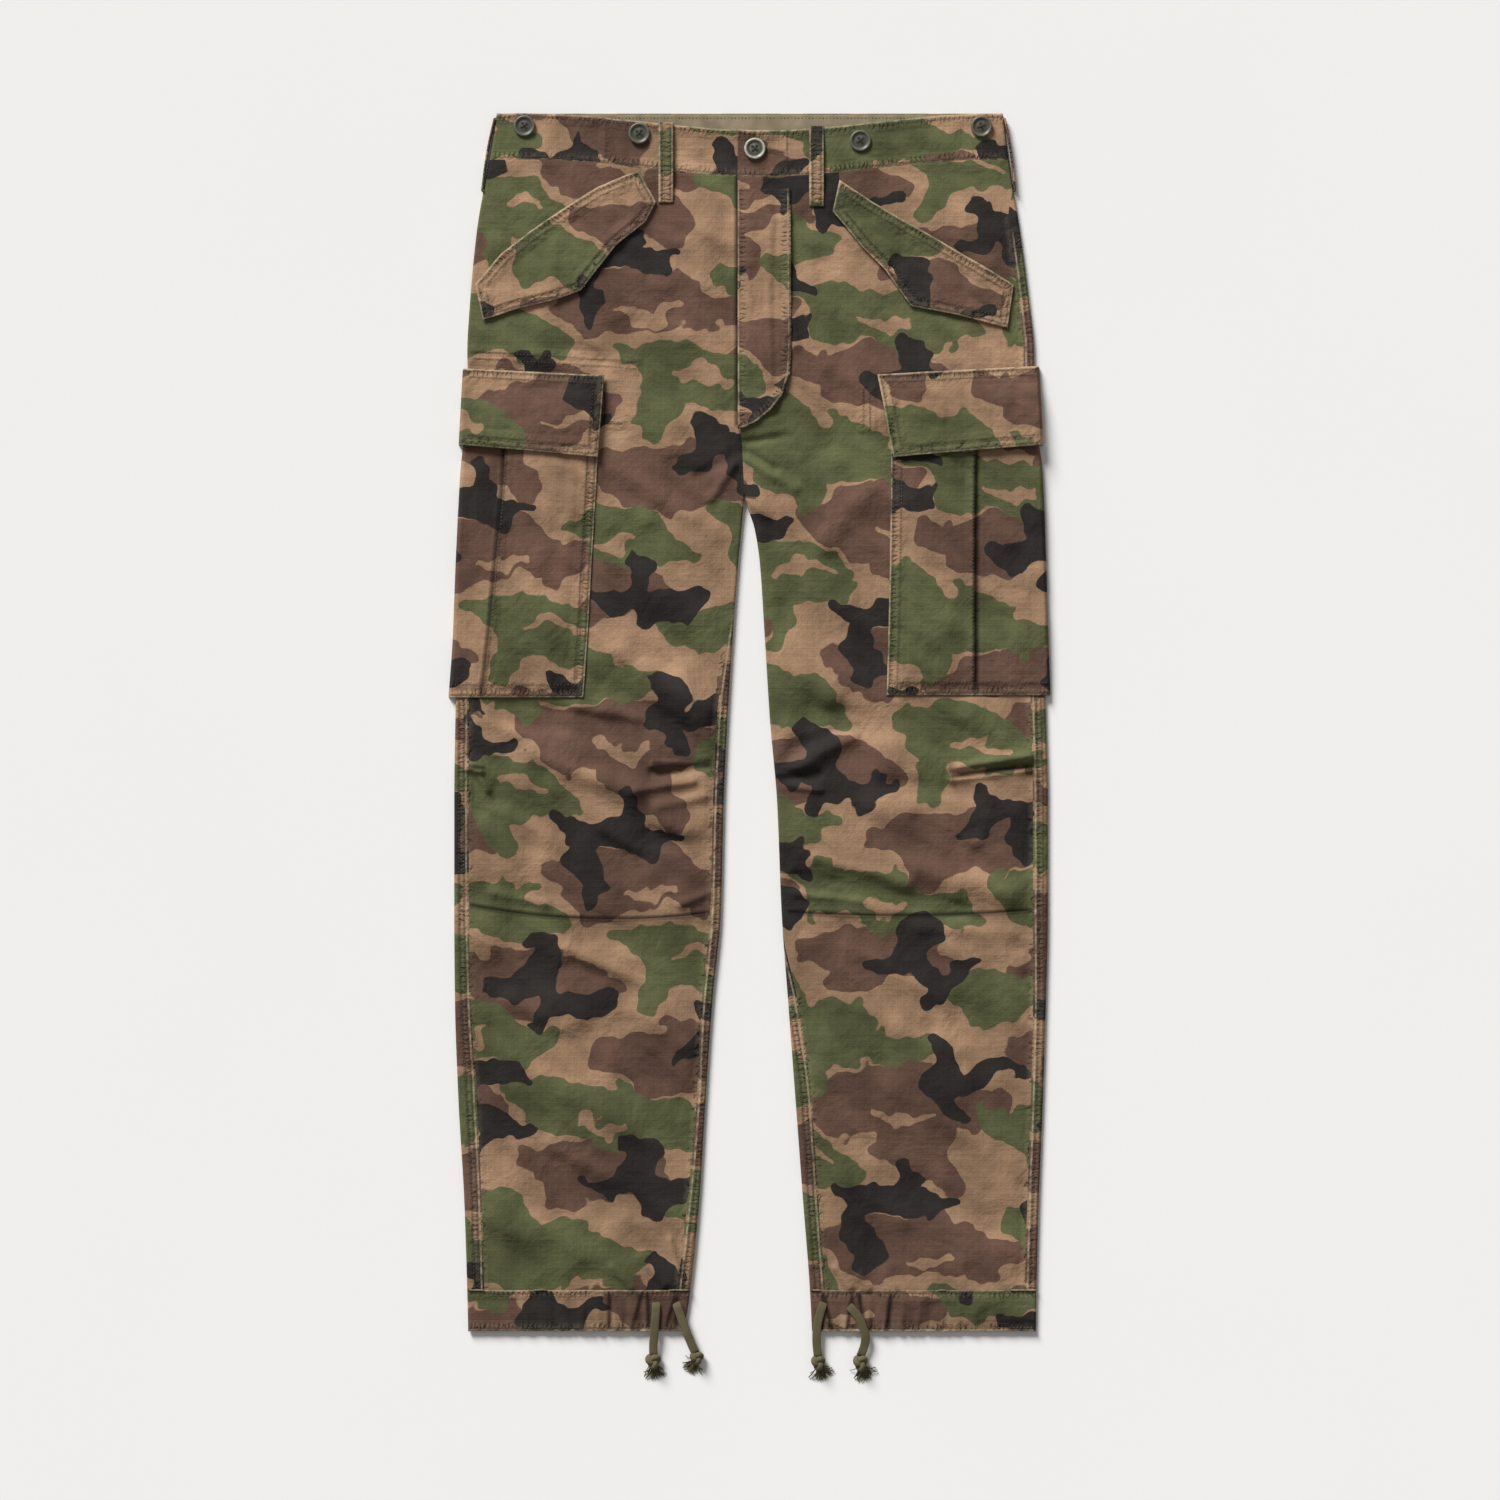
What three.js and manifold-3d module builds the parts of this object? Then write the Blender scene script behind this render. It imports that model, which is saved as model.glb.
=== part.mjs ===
// Cargo pants laid flat on a table, front up, waist towards +Y. Millimetres, +Z up.
// The cloth lies on z = 0. x and y are measured from the middle of the laid garment.
// "Right" and "left" are the wearer's, so the right leg lies at negative x.
import * as THREE from "three";
import { mergeVertices } from "three/addons/utils/BufferGeometryUtils.js";
import Module from "manifold-3d";

const CLOTH = 1.2; // wall of one panel of ripstop with its turned seams
const DOUBLE_CLOTH = 1.6; // wall of a belt loop or a turned hem
const SEAM_GAP = 0.3; // between pieces that are sewn to each other
const FOLD_RADIUS = 2.3; // of the rounded folds down the sides of each leg
const PANEL_TOP = 2 * FOLD_RADIUS; // height of the front panels at their edges
const LOFT = 1.1; // how much higher the front panels lie in the middle

const WAIST_TOP = 535.5; // y of the back waistband's top edge
const BAND_BOTTOM = 495; // y of the seam under the waistband, at the sides
const WAIST_DIP = 15; // how far the front waist hangs below the back waist
const CASING_TOP = -500; // y of the seam over the hem casing
const HEM = -535.5; // y of the hem
const CROTCH = 203; // y where the legs part
const BUTTON_RADIUS = 9.5;

// Outline of the laid trousers: x of each leg's folds at heights y.
const OUTLINE = table("y rightOuter rightInner leftInner leftOuter", [
  [536, -222.5, -10.3, -10, 223],
  [493, -229.5, -10.3, -10, 228.5],
  [433, -240, -10.3, -10, 238],
  [371, -246, -10.3, -10, 246],
  [325, -248.5, -10.3, -10, 250.5],
  [300, -248, -10.3, -10, 250.5],
  [270, -249, -9, -8.7, 251.5],
  [248, -249.8, -7, -6.7, 252.3],
  [200, -251.5, -4.9, -4.4, 254.5],
  [170, -253, -7.2, 4.5, 256],
  [143, -254, -9.7, 8.8, 257],
  [72, -257, -15, 13.6, 259],
  [2, -259, -19.4, 18, 261],
  [-69, -260, -22.7, 24.2, 262.7],
  [-170, -260, -25.4, 28.4, 262.7],
  [-245, -259.4, -32.6, 33.9, 261],
  [-333, -256.3, -38.7, 40.5, 258.3],
  [-421, -251.2, -44.2, 47.1, 254.8],
  [-500, -248.6, -52, 53.2, 252.6],
  [-536, -247.7, -57.6, 55, 252.1],
]);

// How far each seam lies in from its fold, on the front. Below zero it is round on the fold itself.
const ON_THE_FOLD = (-Math.PI / 2) * FOLD_RADIUS;
const SEAMS = table("y rightOuter rightInner leftInner leftOuter", [
  [536, ON_THE_FOLD, ON_THE_FOLD, ON_THE_FOLD, ON_THE_FOLD],
  [480, ON_THE_FOLD, ON_THE_FOLD, ON_THE_FOLD, ON_THE_FOLD],
  [440, ON_THE_FOLD, ON_THE_FOLD, ON_THE_FOLD, 6.5],
  [311, ON_THE_FOLD, ON_THE_FOLD, ON_THE_FOLD, 7],
  [140, ON_THE_FOLD, ON_THE_FOLD, ON_THE_FOLD, 9],
  [80, 4, 2, ON_THE_FOLD, 10],
  [0, 10, 7, ON_THE_FOLD, 11],
  [-170, 11, 7, ON_THE_FOLD, 11],
  [-245, 12, 7, 6, 9],
  [-333, 14, 5.5, 12, 8.3],
  [-475, 13, 9, 11, 8],
  [-536, 13, 9, 11, 8],
]);

// Soft folds of the front: a ridge (height above zero) or a trough along a line from 1 to 2.
const FOLDS = table("x1 y1 x2 y2 height halfWidth", [
  [-165, -80, -108, -130, -1.4, 11],
  [-190, -30, -100, -62, 1.2, 10],
  [-85, -100, -45, -112, -1.2, 9],
  [-84, -44, -26, -38, -1.8, 4],
  [-130, -182, -50, -212, -1.3, 12],
  [-140, -245, -95, -300, -1.2, 14],
  [-168, -400, -128, -425, -1.1, 14],
  [-88, 157, -42, 112, -1.3, 13],
  [-120, 60, -45, 8, 1.3, 13],
  [-130, 30, -60, -8, -1.1, 10],
  [-240, -190, -150, -260, 0.9, 12],
  [24, 170, 80, 122, -1.4, 14],
  [40, 105, 100, 62, -1.1, 13],
  [24, -50, 60, -46, -1.8, 4],
  [181, -47, 250, -38, -1.8, 4],
  [44, -38, 90, -12, 1.3, 8],
  [40, -139, 185, -166, -1.9, 6],
  [88, -183, 170, -220, -1.3, 13],
  [115, -403, 212, -438, -1.1, 14],
  [110, -70, 190, -110, 1, 12],
]);

// Knee tucks: across each leg the cloth below the line lies over the cloth above it.
const TUCK_Y = -169;
const TUCK_STEP = 1.5;
const TUCK_REACH = 26;

const moduleLibrary = await Module();
moduleLibrary.setup();

const CAMO_GREEN = 0x5f6b42;
const CAMO_BROWN = 0x5b4238;
const CAMO_TAN = 0x9a7b5f;
const OLIVE = 0x6d6748;
const TAPE = 0x5a5238;
const HORN = 0x4a4a38;

/** Turns rows of numbers into a table of named columns. */
function table(columns, rows) {
  const names = columns.split(" ");
  return rows.map((row) => Object.fromEntries(names.map((name, i) => [name, row[i]])));
}

const lerp = (a, b, t) => a + (b - a) * t;
const clamp01 = (t) => Math.min(1, Math.max(0, t));
const up = () => new THREE.Vector3(0, 0, 1);
const down = () => new THREE.Vector3(0, 0, -1);
const smooth = (t) => clamp01(t) ** 2 * (3 - 2 * clamp01(t));
const steps = (n) => Array.from({ length: n + 1 }, (_, i) => i / n);

/** Value of a table's column at y: a smooth curve through the rows, with no overshoot. */
function at(rows, column, y) {
  if (y >= rows[0].y) return rows[0][column];
  const i = rows.findIndex((row, k) => k > 0 && y >= row.y);
  if (i < 0) return rows.at(-1)[column];
  const slope = (a, b) => (b[column] - a[column]) / (b.y - a.y);
  const middle = slope(rows[i - 1], rows[i]);
  const shared = (a, b) => (a * b <= 0 ? 0 : (2 * a * b) / (a + b));
  const before = i > 1 ? shared(slope(rows[i - 2], rows[i - 1]), middle) : middle;
  const after = i + 1 < rows.length ? shared(middle, slope(rows[i], rows[i + 1])) : middle;
  const span = rows[i].y - rows[i - 1].y;
  const t = (y - rows[i - 1].y) / span;
  const [t2, t3] = [t * t, t * t * t];
  return (
    (2 * t3 - 3 * t2 + 1) * rows[i - 1][column] +
    (t3 - 2 * t2 + t) * span * before +
    (3 * t2 - 2 * t3) * rows[i][column] +
    (t3 - t2) * span * after
  );
}

/** The two folds of a leg. `inward` is the way in x from the fold to the leg's middle. */
const LEGS = {
  right: { outer: { column: "rightOuter", inward: 1 }, inner: { column: "rightInner", inward: -1 } },
  left: { outer: { column: "leftOuter", inward: -1 }, inner: { column: "leftInner", inward: 1 } },
};

/** How round an edge is at y: the inner edges are cut open above the crotch, where both legs meet. */
function roundness(edge, y) {
  const RAMP = 26;
  return edge.column.endsWith("Outer") ? 1 : smooth((CROTCH - y) / RAMP);
}

/** How much a fold of the table, a ridge or a trough, adds to the height at x, y. */
function foldHeight(fold, x, y) {
  const [dx, dy] = [fold.x2 - fold.x1, fold.y2 - fold.y1];
  const length = Math.hypot(dx, dy);
  const along = ((x - fold.x1) * dx + (y - fold.y1) * dy) / length ** 2;
  const beyond = Math.max(0, -along, along - 1) * length;
  const across = ((x - fold.x1) * dy - (y - fold.y1) * dx) / length;
  return fold.height * Math.exp(-((across / fold.halfWidth) ** 2) - (beyond / fold.halfWidth) ** 2);
}

/** Relief of the front over its plain height: loft, folds, knee tucks and the fly's overlap. */
function relief(x, y) {
  const FOLDS_FADE = 15;
  const LOFT_FADES = 30;
  const leg = x < at(OUTLINE, "rightInner", y) + SEAM_GAP / 2 ? LEGS.right : LEGS.left;
  const fromOuter = Math.abs(x - at(OUTLINE, leg.outer.column, y));
  const aboveCrotch = LOFT_FADES * (1 - roundness(leg.inner, y));
  const fromInner = Math.abs(x - at(OUTLINE, leg.inner.column, y)) + aboveCrotch;
  const depth = Math.min(fromOuter, fromInner) - FOLD_RADIUS;
  const folds = FOLDS.reduce((sum, fold) => sum + foldHeight(fold, x, y), 0);
  const tuck = Math.sign(TUCK_Y - y) * (TUCK_STEP / 2) * Math.exp(-Math.abs(y - TUCK_Y) / TUCK_REACH);
  return LOFT * smooth(depth / LOFT_FADES) + (folds + tuck) * smooth(depth / FOLDS_FADE) + flyStep(leg, x, y);
}

/** The left front laps over the right one at the fly, so its edge stands higher there. */
function flyStep(leg, x, y) {
  const [HEIGHT, REACH, BOTTOM] = [1.2, 28, 245];
  if (leg === LEGS.right) return 0;
  return HEIGHT * clamp01(1 - (x - at(OUTLINE, "leftInner", y)) / REACH) * smooth((y - BOTTOM) / REACH);
}

/** How far the front waist hangs below the back waist at x, fading out down the hips. */
function dip(x, y) {
  const MIDDLE = 10;
  const HALF_SPAN = 205;
  const FADES_OVER = 90;
  const across = smooth(1 - Math.abs(x - MIDDLE) / HALF_SPAN);
  return WAIST_DIP * across * smooth((y - BAND_BOTTOM + FADES_OVER) / FADES_OVER);
}

/**
 * A point of a leg's skin at height y, by its place round one of the folds.
 * place 0 is where the flat top meets the fold. Above 0 it runs round the fold, reaches the floor at
 * pi times the radius and goes in along it; below 0 it runs in over the top.
 */
function roundFold(edge, y, place) {
  const x0 = at(OUTLINE, edge.column, y);
  const round = roundness(edge, y);
  const radius = FOLD_RADIUS;
  const angle = Math.min(Math.PI, Math.max(0, place) / radius);
  const straight = Math.max(0, -place, place - Math.PI * radius);
  const inset = radius * round * (1 - Math.sin(angle)) + straight;
  const x = x0 + edge.inward * inset;
  const z = radius + radius * Math.cos(angle) + (place < 0 ? relief(x, y) : 0);
  const normal = new THREE.Vector3(-edge.inward * Math.sin(angle), 0, Math.cos(angle));
  return { point: new THREE.Vector3(x, y, z), normal };
}

/** Place round the fold of a panel's sewn edge, for the panel on top or the one underneath. */
function seamPlace(edge, y, isFront) {
  const seam = -at(SEAMS, edge.column, y);
  const round = roundness(edge, y);
  const floor = Math.PI * FOLD_RADIUS;
  return isFront ? seam * round - SEAM_GAP / 2 : floor - (floor - seam) * round + SEAM_GAP / 2;
}

/** Height of the front's skin at x, y, round the folds too. */
function topOf(x, y) {
  const leg = x < at(OUTLINE, "rightInner", y) + SEAM_GAP / 2 ? LEGS.right : LEGS.left;
  const edges = y > CROTCH ? [leg.outer] : [leg.outer, leg.inner];
  const depth = Math.min(...edges.map((e) => e.inward * (x - at(OUTLINE, e.column, y))));
  if (depth >= FOLD_RADIUS) return PANEL_TOP + relief(x, y);
  const drop = FOLD_RADIUS - Math.max(0, depth);
  return FOLD_RADIUS + Math.sqrt(FOLD_RADIUS ** 2 - drop ** 2);
}

/** A closed geometry from a vertex list and triangles, turned so that its faces point outwards. */
function closedGeometry(vertices, triangles) {
  const geometry = new THREE.BufferGeometry();
  const volume = triangles.reduce((sum, [a, b, c]) => {
    return sum + vertices[a].dot(new THREE.Vector3().crossVectors(vertices[b], vertices[c]));
  }, 0);
  const faces = volume < 0 ? triangles.map(([a, b, c]) => [a, c, b]) : triangles;
  geometry.setAttribute(
    "position",
    new THREE.Float32BufferAttribute(vertices.flatMap((v) => v.toArray()), 3),
  );
  geometry.setIndex(faces.flat());
  geometry.computeVertexNormals();
  return geometry;
}

/** A wall of cloth: a grid of skin points, and the same grid moved in by the thickness. */
function wall(rows, thickness, isRing = false) {
  const [tall, wide] = [rows.length, rows[0].length];
  const skin = rows.flat().map(({ point }) => point);
  const inside = rows.flat().map(({ point, normal }) => point.clone().addScaledVector(normal, -thickness));
  const vertices = [...skin, ...inside];
  const shift = skin.length;
  const triangles = [];
  const quad = (a, b, c, d) => triangles.push([a, b, c], [a, c, d]);
  const id = (i, j) => i * wide + (j % wide);
  for (let i = 0; i < tall - 1; i++)
    for (let j = 0; j < (isRing ? wide : wide - 1); j++) {
      const corners = [id(i, j), id(i, j + 1), id(i + 1, j + 1), id(i + 1, j)];
      quad(...corners);
      quad(...corners.map((k) => k + shift).reverse());
    }
  const rim = [];
  for (let j = 0; j < (isRing ? wide : wide - 1); j++) {
    rim.push([id(0, j + 1), id(0, j)]);
    rim.push([id(tall - 1, j), id(tall - 1, j + 1)]);
  }
  for (let i = 0; i < tall - 1 && !isRing; i++) {
    rim.push([id(i, 0), id(i + 1, 0)]);
    rim.push([id(i + 1, wide - 1), id(i, wide - 1)]);
  }
  for (const [a, b] of rim) quad(a, b, b + shift, a + shift);
  return closedGeometry(vertices, triangles);
}

/** A named mesh of one piece. */
function piece(name, geometry, color, roughness = 0.9) {
  const mesh = new THREE.Mesh(geometry, new THREE.MeshStandardMaterial({ color, roughness, metalness: 0 }));
  mesh.name = name;
  return mesh;
}

/** Heights of a panel's rows: zones [top, spacing] down to the bottom, and some rows set by hand. */
function rowHeights(zones, bottom, byHand) {
  const even = zones.flatMap(([top, spacing], i) => {
    const end = i + 1 < zones.length ? zones[i + 1][0] : bottom;
    return steps(Math.round((top - end) / spacing)).slice(0, -1).map((t) => lerp(top, end, t));
  });
  const CLEAR = 7;
  const kept = even.filter((y, i) => i === 0 || byHand.every((h) => Math.abs(h - y) > CLEAR));
  return [...kept, ...byHand, bottom].sort((a, b) => b - a);
}

/** One row of a front panel or waistband: from the outer seam, over the top, to the inner seam. */
function frontRow(leg, y, columns) {
  const ON_TOP = 8;
  const side = (edge) => {
    const start = seamPlace(edge, y, true);
    const corner = Math.min(0, start - 1);
    return [start, (start + corner) / 2, corner, corner - ON_TOP].map((place) => roundFold(edge, y, place));
  };
  const [outer, inner] = [side(leg.outer), side(leg.inner).reverse()];
  const [from, to] = [outer.at(-1).point.x, inner[0].point.x];
  const middle = steps(columns).slice(1, -1).map((t) => {
    const x = lerp(from, to, t);
    return { point: new THREE.Vector3(x, y, PANEL_TOP + relief(x, y)), normal: up() };
  });
  const row = [...outer, ...middle, ...inner];
  for (const { point } of row) point.y -= dip(point.x, y);
  return row;
}

/** Heights of the rows that fronts and backs share, so that their seams match. */
function panelRows() {
  const TUCK_EDGE = 1.2;
  const zones = [[BAND_BOTTOM - SEAM_GAP, 48], [190, 25], [-250, 50]];
  const byHand = [CROTCH, CROTCH - 13, CROTCH - 26, TUCK_Y + TUCK_EDGE, TUCK_Y - TUCK_EDGE, -42];
  return rowHeights(zones, CASING_TOP + SEAM_GAP, byHand);
}

/** A front: from the seam under the waistband to the seam over the hem casing. */
function frontPanel(side) {
  const rows = panelRows().map((y) => frontRow(LEGS[side], y, 12));
  return piece(`front_panel_${side}`, wall(rows, CLOTH), CAMO_GREEN);
}

/** Places of a back's points round a fold, from its sewn edge to a little way in on the floor. */
function backPlaces(start) {
  const ON_FLOOR = 4;
  const corner = Math.max(0, start + 1);
  const end = Math.PI * FOLD_RADIUS + ON_FLOOR;
  return [start, (start + corner) / 2, ...steps(3).map((t) => lerp(corner, end, t))];
}

/** One row of a back: from the outer seam round the fold, along the floor and up to the inner seam. */
function backRow(leg, y, columns) {
  const side = (edge) => backPlaces(seamPlace(edge, y, false)).map((place) => roundFold(edge, y, place));
  const [outer, inner] = [side(leg.outer), side(leg.inner).reverse()];
  const [from, to] = [outer.at(-1).point.x, inner[0].point.x];
  const middle = steps(columns).slice(1, -1).map((t) => {
    return { point: new THREE.Vector3(lerp(from, to, t), y, 0), normal: down() };
  });
  return [...outer, ...middle, ...inner];
}

/** A back: it lies flat on the table and turns up round the folds, where its seams show in front. */
function backPanel(side) {
  const rows = panelRows().map((y) => backRow(LEGS[side], y, 2));
  return piece(`back_panel_${side}`, wall(rows, CLOTH), CAMO_BROWN);
}

/** Front half of the waistband on one side. */
function waistbandFront(side) {
  const rows = steps(2).map((t) => frontRow(LEGS[side], lerp(WAIST_TOP - 0.5, BAND_BOTTOM, t), 12));
  return piece(`waistband_front_${side}`, wall(rows, CLOTH), CAMO_BROWN);
}

/** Back of the waistband: one strip from side seam to side seam, lying on the table. */
function waistbandBack() {
  const rows = steps(2).map((t) => {
    const y = lerp(WAIST_TOP, BAND_BOTTOM, t);
    const end = (edge) => backPlaces(seamPlace(edge, y, false)).map((place) => roundFold(edge, y, place));
    const [right, left] = [end(LEGS.right.outer), end(LEGS.left.outer).reverse()];
    const middle = steps(10).slice(1, -1).map((s) => {
      const x = lerp(right.at(-1).point.x, left[0].point.x, s);
      return { point: new THREE.Vector3(x, y, 0), normal: down() };
    });
    return [...right, ...middle, ...left];
  });
  return piece("waistband_back", wall(rows, CLOTH), CAMO_TAN);
}

/** Plain facing inside the back waistband. It shows over the front waist, which hangs lower. */
function waistbandFacing() {
  const THICKNESS = 1;
  const SIDE_INSET = 7;
  const TOP_INSET = 1;
  const DEPTH = 42;
  const z = CLOTH + SEAM_GAP + THICKNESS;
  const rows = steps(2).map((t) => {
    const y = WAIST_TOP - TOP_INSET - DEPTH * t;
    const from = at(OUTLINE, "rightOuter", y) + SIDE_INSET;
    const to = at(OUTLINE, "leftOuter", y) - SIDE_INSET;
    return steps(10).map((s) => {
      return { point: new THREE.Vector3(lerp(from, to, s), y, z), normal: up() };
    });
  });
  return piece("waistband_facing_back", wall(rows, THICKNESS), OLIVE);
}

/** Rows of a patch that lies on the front, between two edges given for each column. */
function patchRows(columns, rowCount, height) {
  return steps(rowCount).map((v) =>
    columns.map(({ x1, y1, x2, y2 }) => {
      const [x, y] = [lerp(x1, x2, v), lerp(y1, y2, v)];
      return { point: new THREE.Vector3(x, y, height(x, y, v)), normal: up() };
    }),
  );
}

/** Doubled placket of the fly, left over right, with its lower end curved in to the front seam. */
function flyPlacket() {
  const [THICKNESS, EDGE_X, REACH] = [1, -9.8, 9];
  const rightEdge = table("y x", [
    [482, 35.5], [400, 36], [330, 36.5], [305, 35], [288, 29.5], [275, 20], [264, 7], [258, -6.5],
  ]);
  const rows = rightEdge.map(({ y, x: to }) => {
    return steps(4).map((t) => {
      const x = lerp(EDGE_X, to, t);
      const lowered = y - dip(x, y);
      const z = highestNear(topOf, x, y, REACH) + SEAM_GAP + THICKNESS;
      return { point: new THREE.Vector3(x, lowered, z), normal: up() };
    });
  });
  return piece("fly_placket", wall(rows, THICKNESS), CAMO_BROWN);
}

// Hip pocket flaps, by their sewn upper edge (1) and their free lower edge (2).
const HIP_FLAPS = {
  right: table("x1 y1 x2 y2", [
    [-241, 385, -234, 354], [-218.5, 411, -206, 363], [-193, 431, -170.5, 371.5],
    [-165, 450, -148, 380], [-133.5, 470, -118, 419], [-97.5, 484, -82.5, 452],
  ]),
  left: table("x1 y1 x2 y2", [
    [79.5, 476, 73.5, 449], [108, 457, 99, 418], [137, 440, 119.5, 397.5],
    [169.5, 421.5, 142, 366], [201, 403, 183.5, 358], [232, 384.5, 226.5, 347],
  ]),
};

/** A table's rows with a row halfway between each two. */
function withHalfways(rows) {
  return rows.flatMap((row, i) => {
    if (i === 0) return [row];
    const names = Object.keys(row);
    return [Object.fromEntries(names.map((name) => [name, (rows[i - 1][name] + row[name]) / 2])), row];
  });
}

/** Slanted flap over a hip pocket. Its free edge stands a little off the front. */
function hipFlap(side) {
  const LIFT = 1.1;
  const REACH = 5;
  const resting = (x, y, v) => highestNear(topOf, x, y, REACH) + SEAM_GAP + CLOTH + LIFT * smooth(v);
  const columns = withHalfways(HIP_FLAPS[side]);
  return piece(`hip_flap_${side}`, wall(patchRows(columns, 4, resting), CLOTH), CAMO_TAN);
}

// Cargo pockets at heights y: x of the stitched edge, the pleat and the outer fold.
const CARGO_POCKETS = {
  right: table("y stitched pleat outer", [
    [302, -130, -213, -250.4], [248, -133.5, -215, -252.2], [222, -134.5, -216, -254.6],
    [143, -139, -223, -258.8], [72, -143, -229.5, -261.6], [22, -146.5, -235.5, -265.2],
  ]),
  left: table("y stitched pleat outer", [
    [302, 120, 199, 253.1], [248, 124.5, 199, 254.9], [222, 125, 198.5, 258.2],
    [143, 124, 198, 261.4], [72, 122.5, 198, 263.6], [24, 121, 198, 265.2],
  ]),
};
const PLEAT_STEP = 1.5; // the pleat's stitched edge stands this much higher

/**
 * Height of a cargo pocket's skin at x, y: it is sewn down at its edges and stands off the leg
 * between them. The half of it towards the inner leg lies higher, over the pleat.
 */
function pocketTop(side, x, y, isPleated = true) {
  const [POUCH, SOFTENS_OVER, PLEAT_WIDTH] = [1.8, 24, 1.6];
  const rows = CARGO_POCKETS[side];
  const { inward, column } = LEGS[side].outer;
  const fromEdges = Math.min(inward * (at(rows, "stitched", y) - x), y - rows.at(-1).y, rows[0].y - y);
  const full = smooth(fromEdges / SOFTENS_OVER);
  const fromPleat = inward * (x - at(rows, "pleat", y));
  const overPleat = isPleated ? smooth(fromPleat / PLEAT_WIDTH + 0.5) : 1;
  const isOverFold = inward * (x - at(OUTLINE, column, y)) < FOLD_RADIUS;
  const leg = PANEL_TOP + (isOverFold ? 0 : relief(x, y));
  return leg + SEAM_GAP + CLOTH + POUCH * full + PLEAT_STEP * overPleat * full;
}

/**
 * One row of a pocket or flap that turns down round the outer fold of the leg.
 * It runs from the edge at x = from, over stations in between, to the fold at x = outer.
 */
function overFoldRow(side, y, stations, outer, height, floorGap) {
  const { inward } = LEGS[side].outer;
  const TURN = 4.2;
  const flat = stations.map((x) => {
    return { point: new THREE.Vector3(x, y, height(x, y)), normal: up() };
  });
  const top = height(outer + inward * TURN, y);
  const turned = steps(4).map((t) => {
    const angle = (t * Math.PI) / 2;
    const x = outer + inward * TURN * (1 - Math.sin(angle));
    const z = floorGap + (top - floorGap) * Math.cos(angle);
    const normal = new THREE.Vector3(-inward * Math.sin(angle), 0, Math.cos(angle));
    return { point: new THREE.Vector3(x, y, z), normal };
  });
  return [...flat, ...turned];
}

/** Bellows pocket on the thigh, with a pleat down its middle, turned round the outer fold. */
function cargoPocket(side) {
  const shape = CARGO_POCKETS[side];
  const { inward } = LEGS[side].outer;
  const [PLEAT_EDGE, EDGE_STRIP] = [0.9, 7];
  const rows = steps(10).map((t) => {
    const y = lerp(shape[0].y, shape.at(-1).y, t);
    const [stitched, pleat, outer] = ["stitched", "pleat", "outer"].map((c) => at(shape, c, y));
    const inner = stitched - inward * EDGE_STRIP;
    const stations = [
      stitched,
      ...steps(4).map((s) => lerp(inner, pleat + inward * PLEAT_EDGE, s)),
      pleat - inward * PLEAT_EDGE,
      lerp(pleat, outer, 0.45),
    ];
    return overFoldRow(side, y, stations, outer, (x) => pocketTop(side, x, y), SEAM_GAP);
  });
  return piece(`cargo_pocket_${side}`, wall(rows, CLOTH), CAMO_BROWN);
}

// Cargo flaps from their sewn edge (first row) to their free edge: the inner end at x, y and the outer one.
const CARGO_FLAPS = {
  right: table("x y outerX outerY", [[-128, 304, -252.6, 310.5], [-133.5, 233, -256.2, 244]]),
  left: table("x y outerX outerY", [[113, 305, 255.2, 312.5], [126.5, 233, 259, 244]]),
};

/** Highest value of a height function round x, y, so that a piece laid over it clears it between points. */
function highestNear(height, x, y, reach) {
  const offsets = [-reach, 0, reach];
  return Math.max(...offsets.flatMap((dx) => offsets.map((dy) => height(x + dx, y + dy))));
}

/** Flap of a cargo pocket. It lies on the pocket and turns round the outer fold with it. */
function cargoFlap(side) {
  const [LIFT, TURN, REACH] = [1.2, 7, 8];
  const [sewn, free] = CARGO_FLAPS[side];
  const { inward } = LEGS[side].outer;
  const rows = steps(5).map((t) => {
    const [x0, y0, x1, y1] = ["x", "y", "outerX", "outerY"].map((name) => lerp(sewn[name], free[name], t));
    const slant = (x) => lerp(y0, y1, (x - x0) / (x1 - x0));
    const pocket = (x, y) => pocketTop(side, x, y, false);
    const height = (x) => highestNear(pocket, x, slant(x), REACH) + SEAM_GAP + CLOTH + LIFT * smooth(t);
    const stations = steps(8).map((s) => lerp(x0, x1 + inward * TURN, s));
    const row = overFoldRow(side, 0, stations, x1, height, 2 * SEAM_GAP);
    for (const { point } of row) point.y = slant(point.x);
    return row;
  });
  return piece(`cargo_flap_${side}`, wall(rows, CLOTH), CAMO_GREEN);
}

const GATHER_HEIGHT = 1.1;

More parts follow.
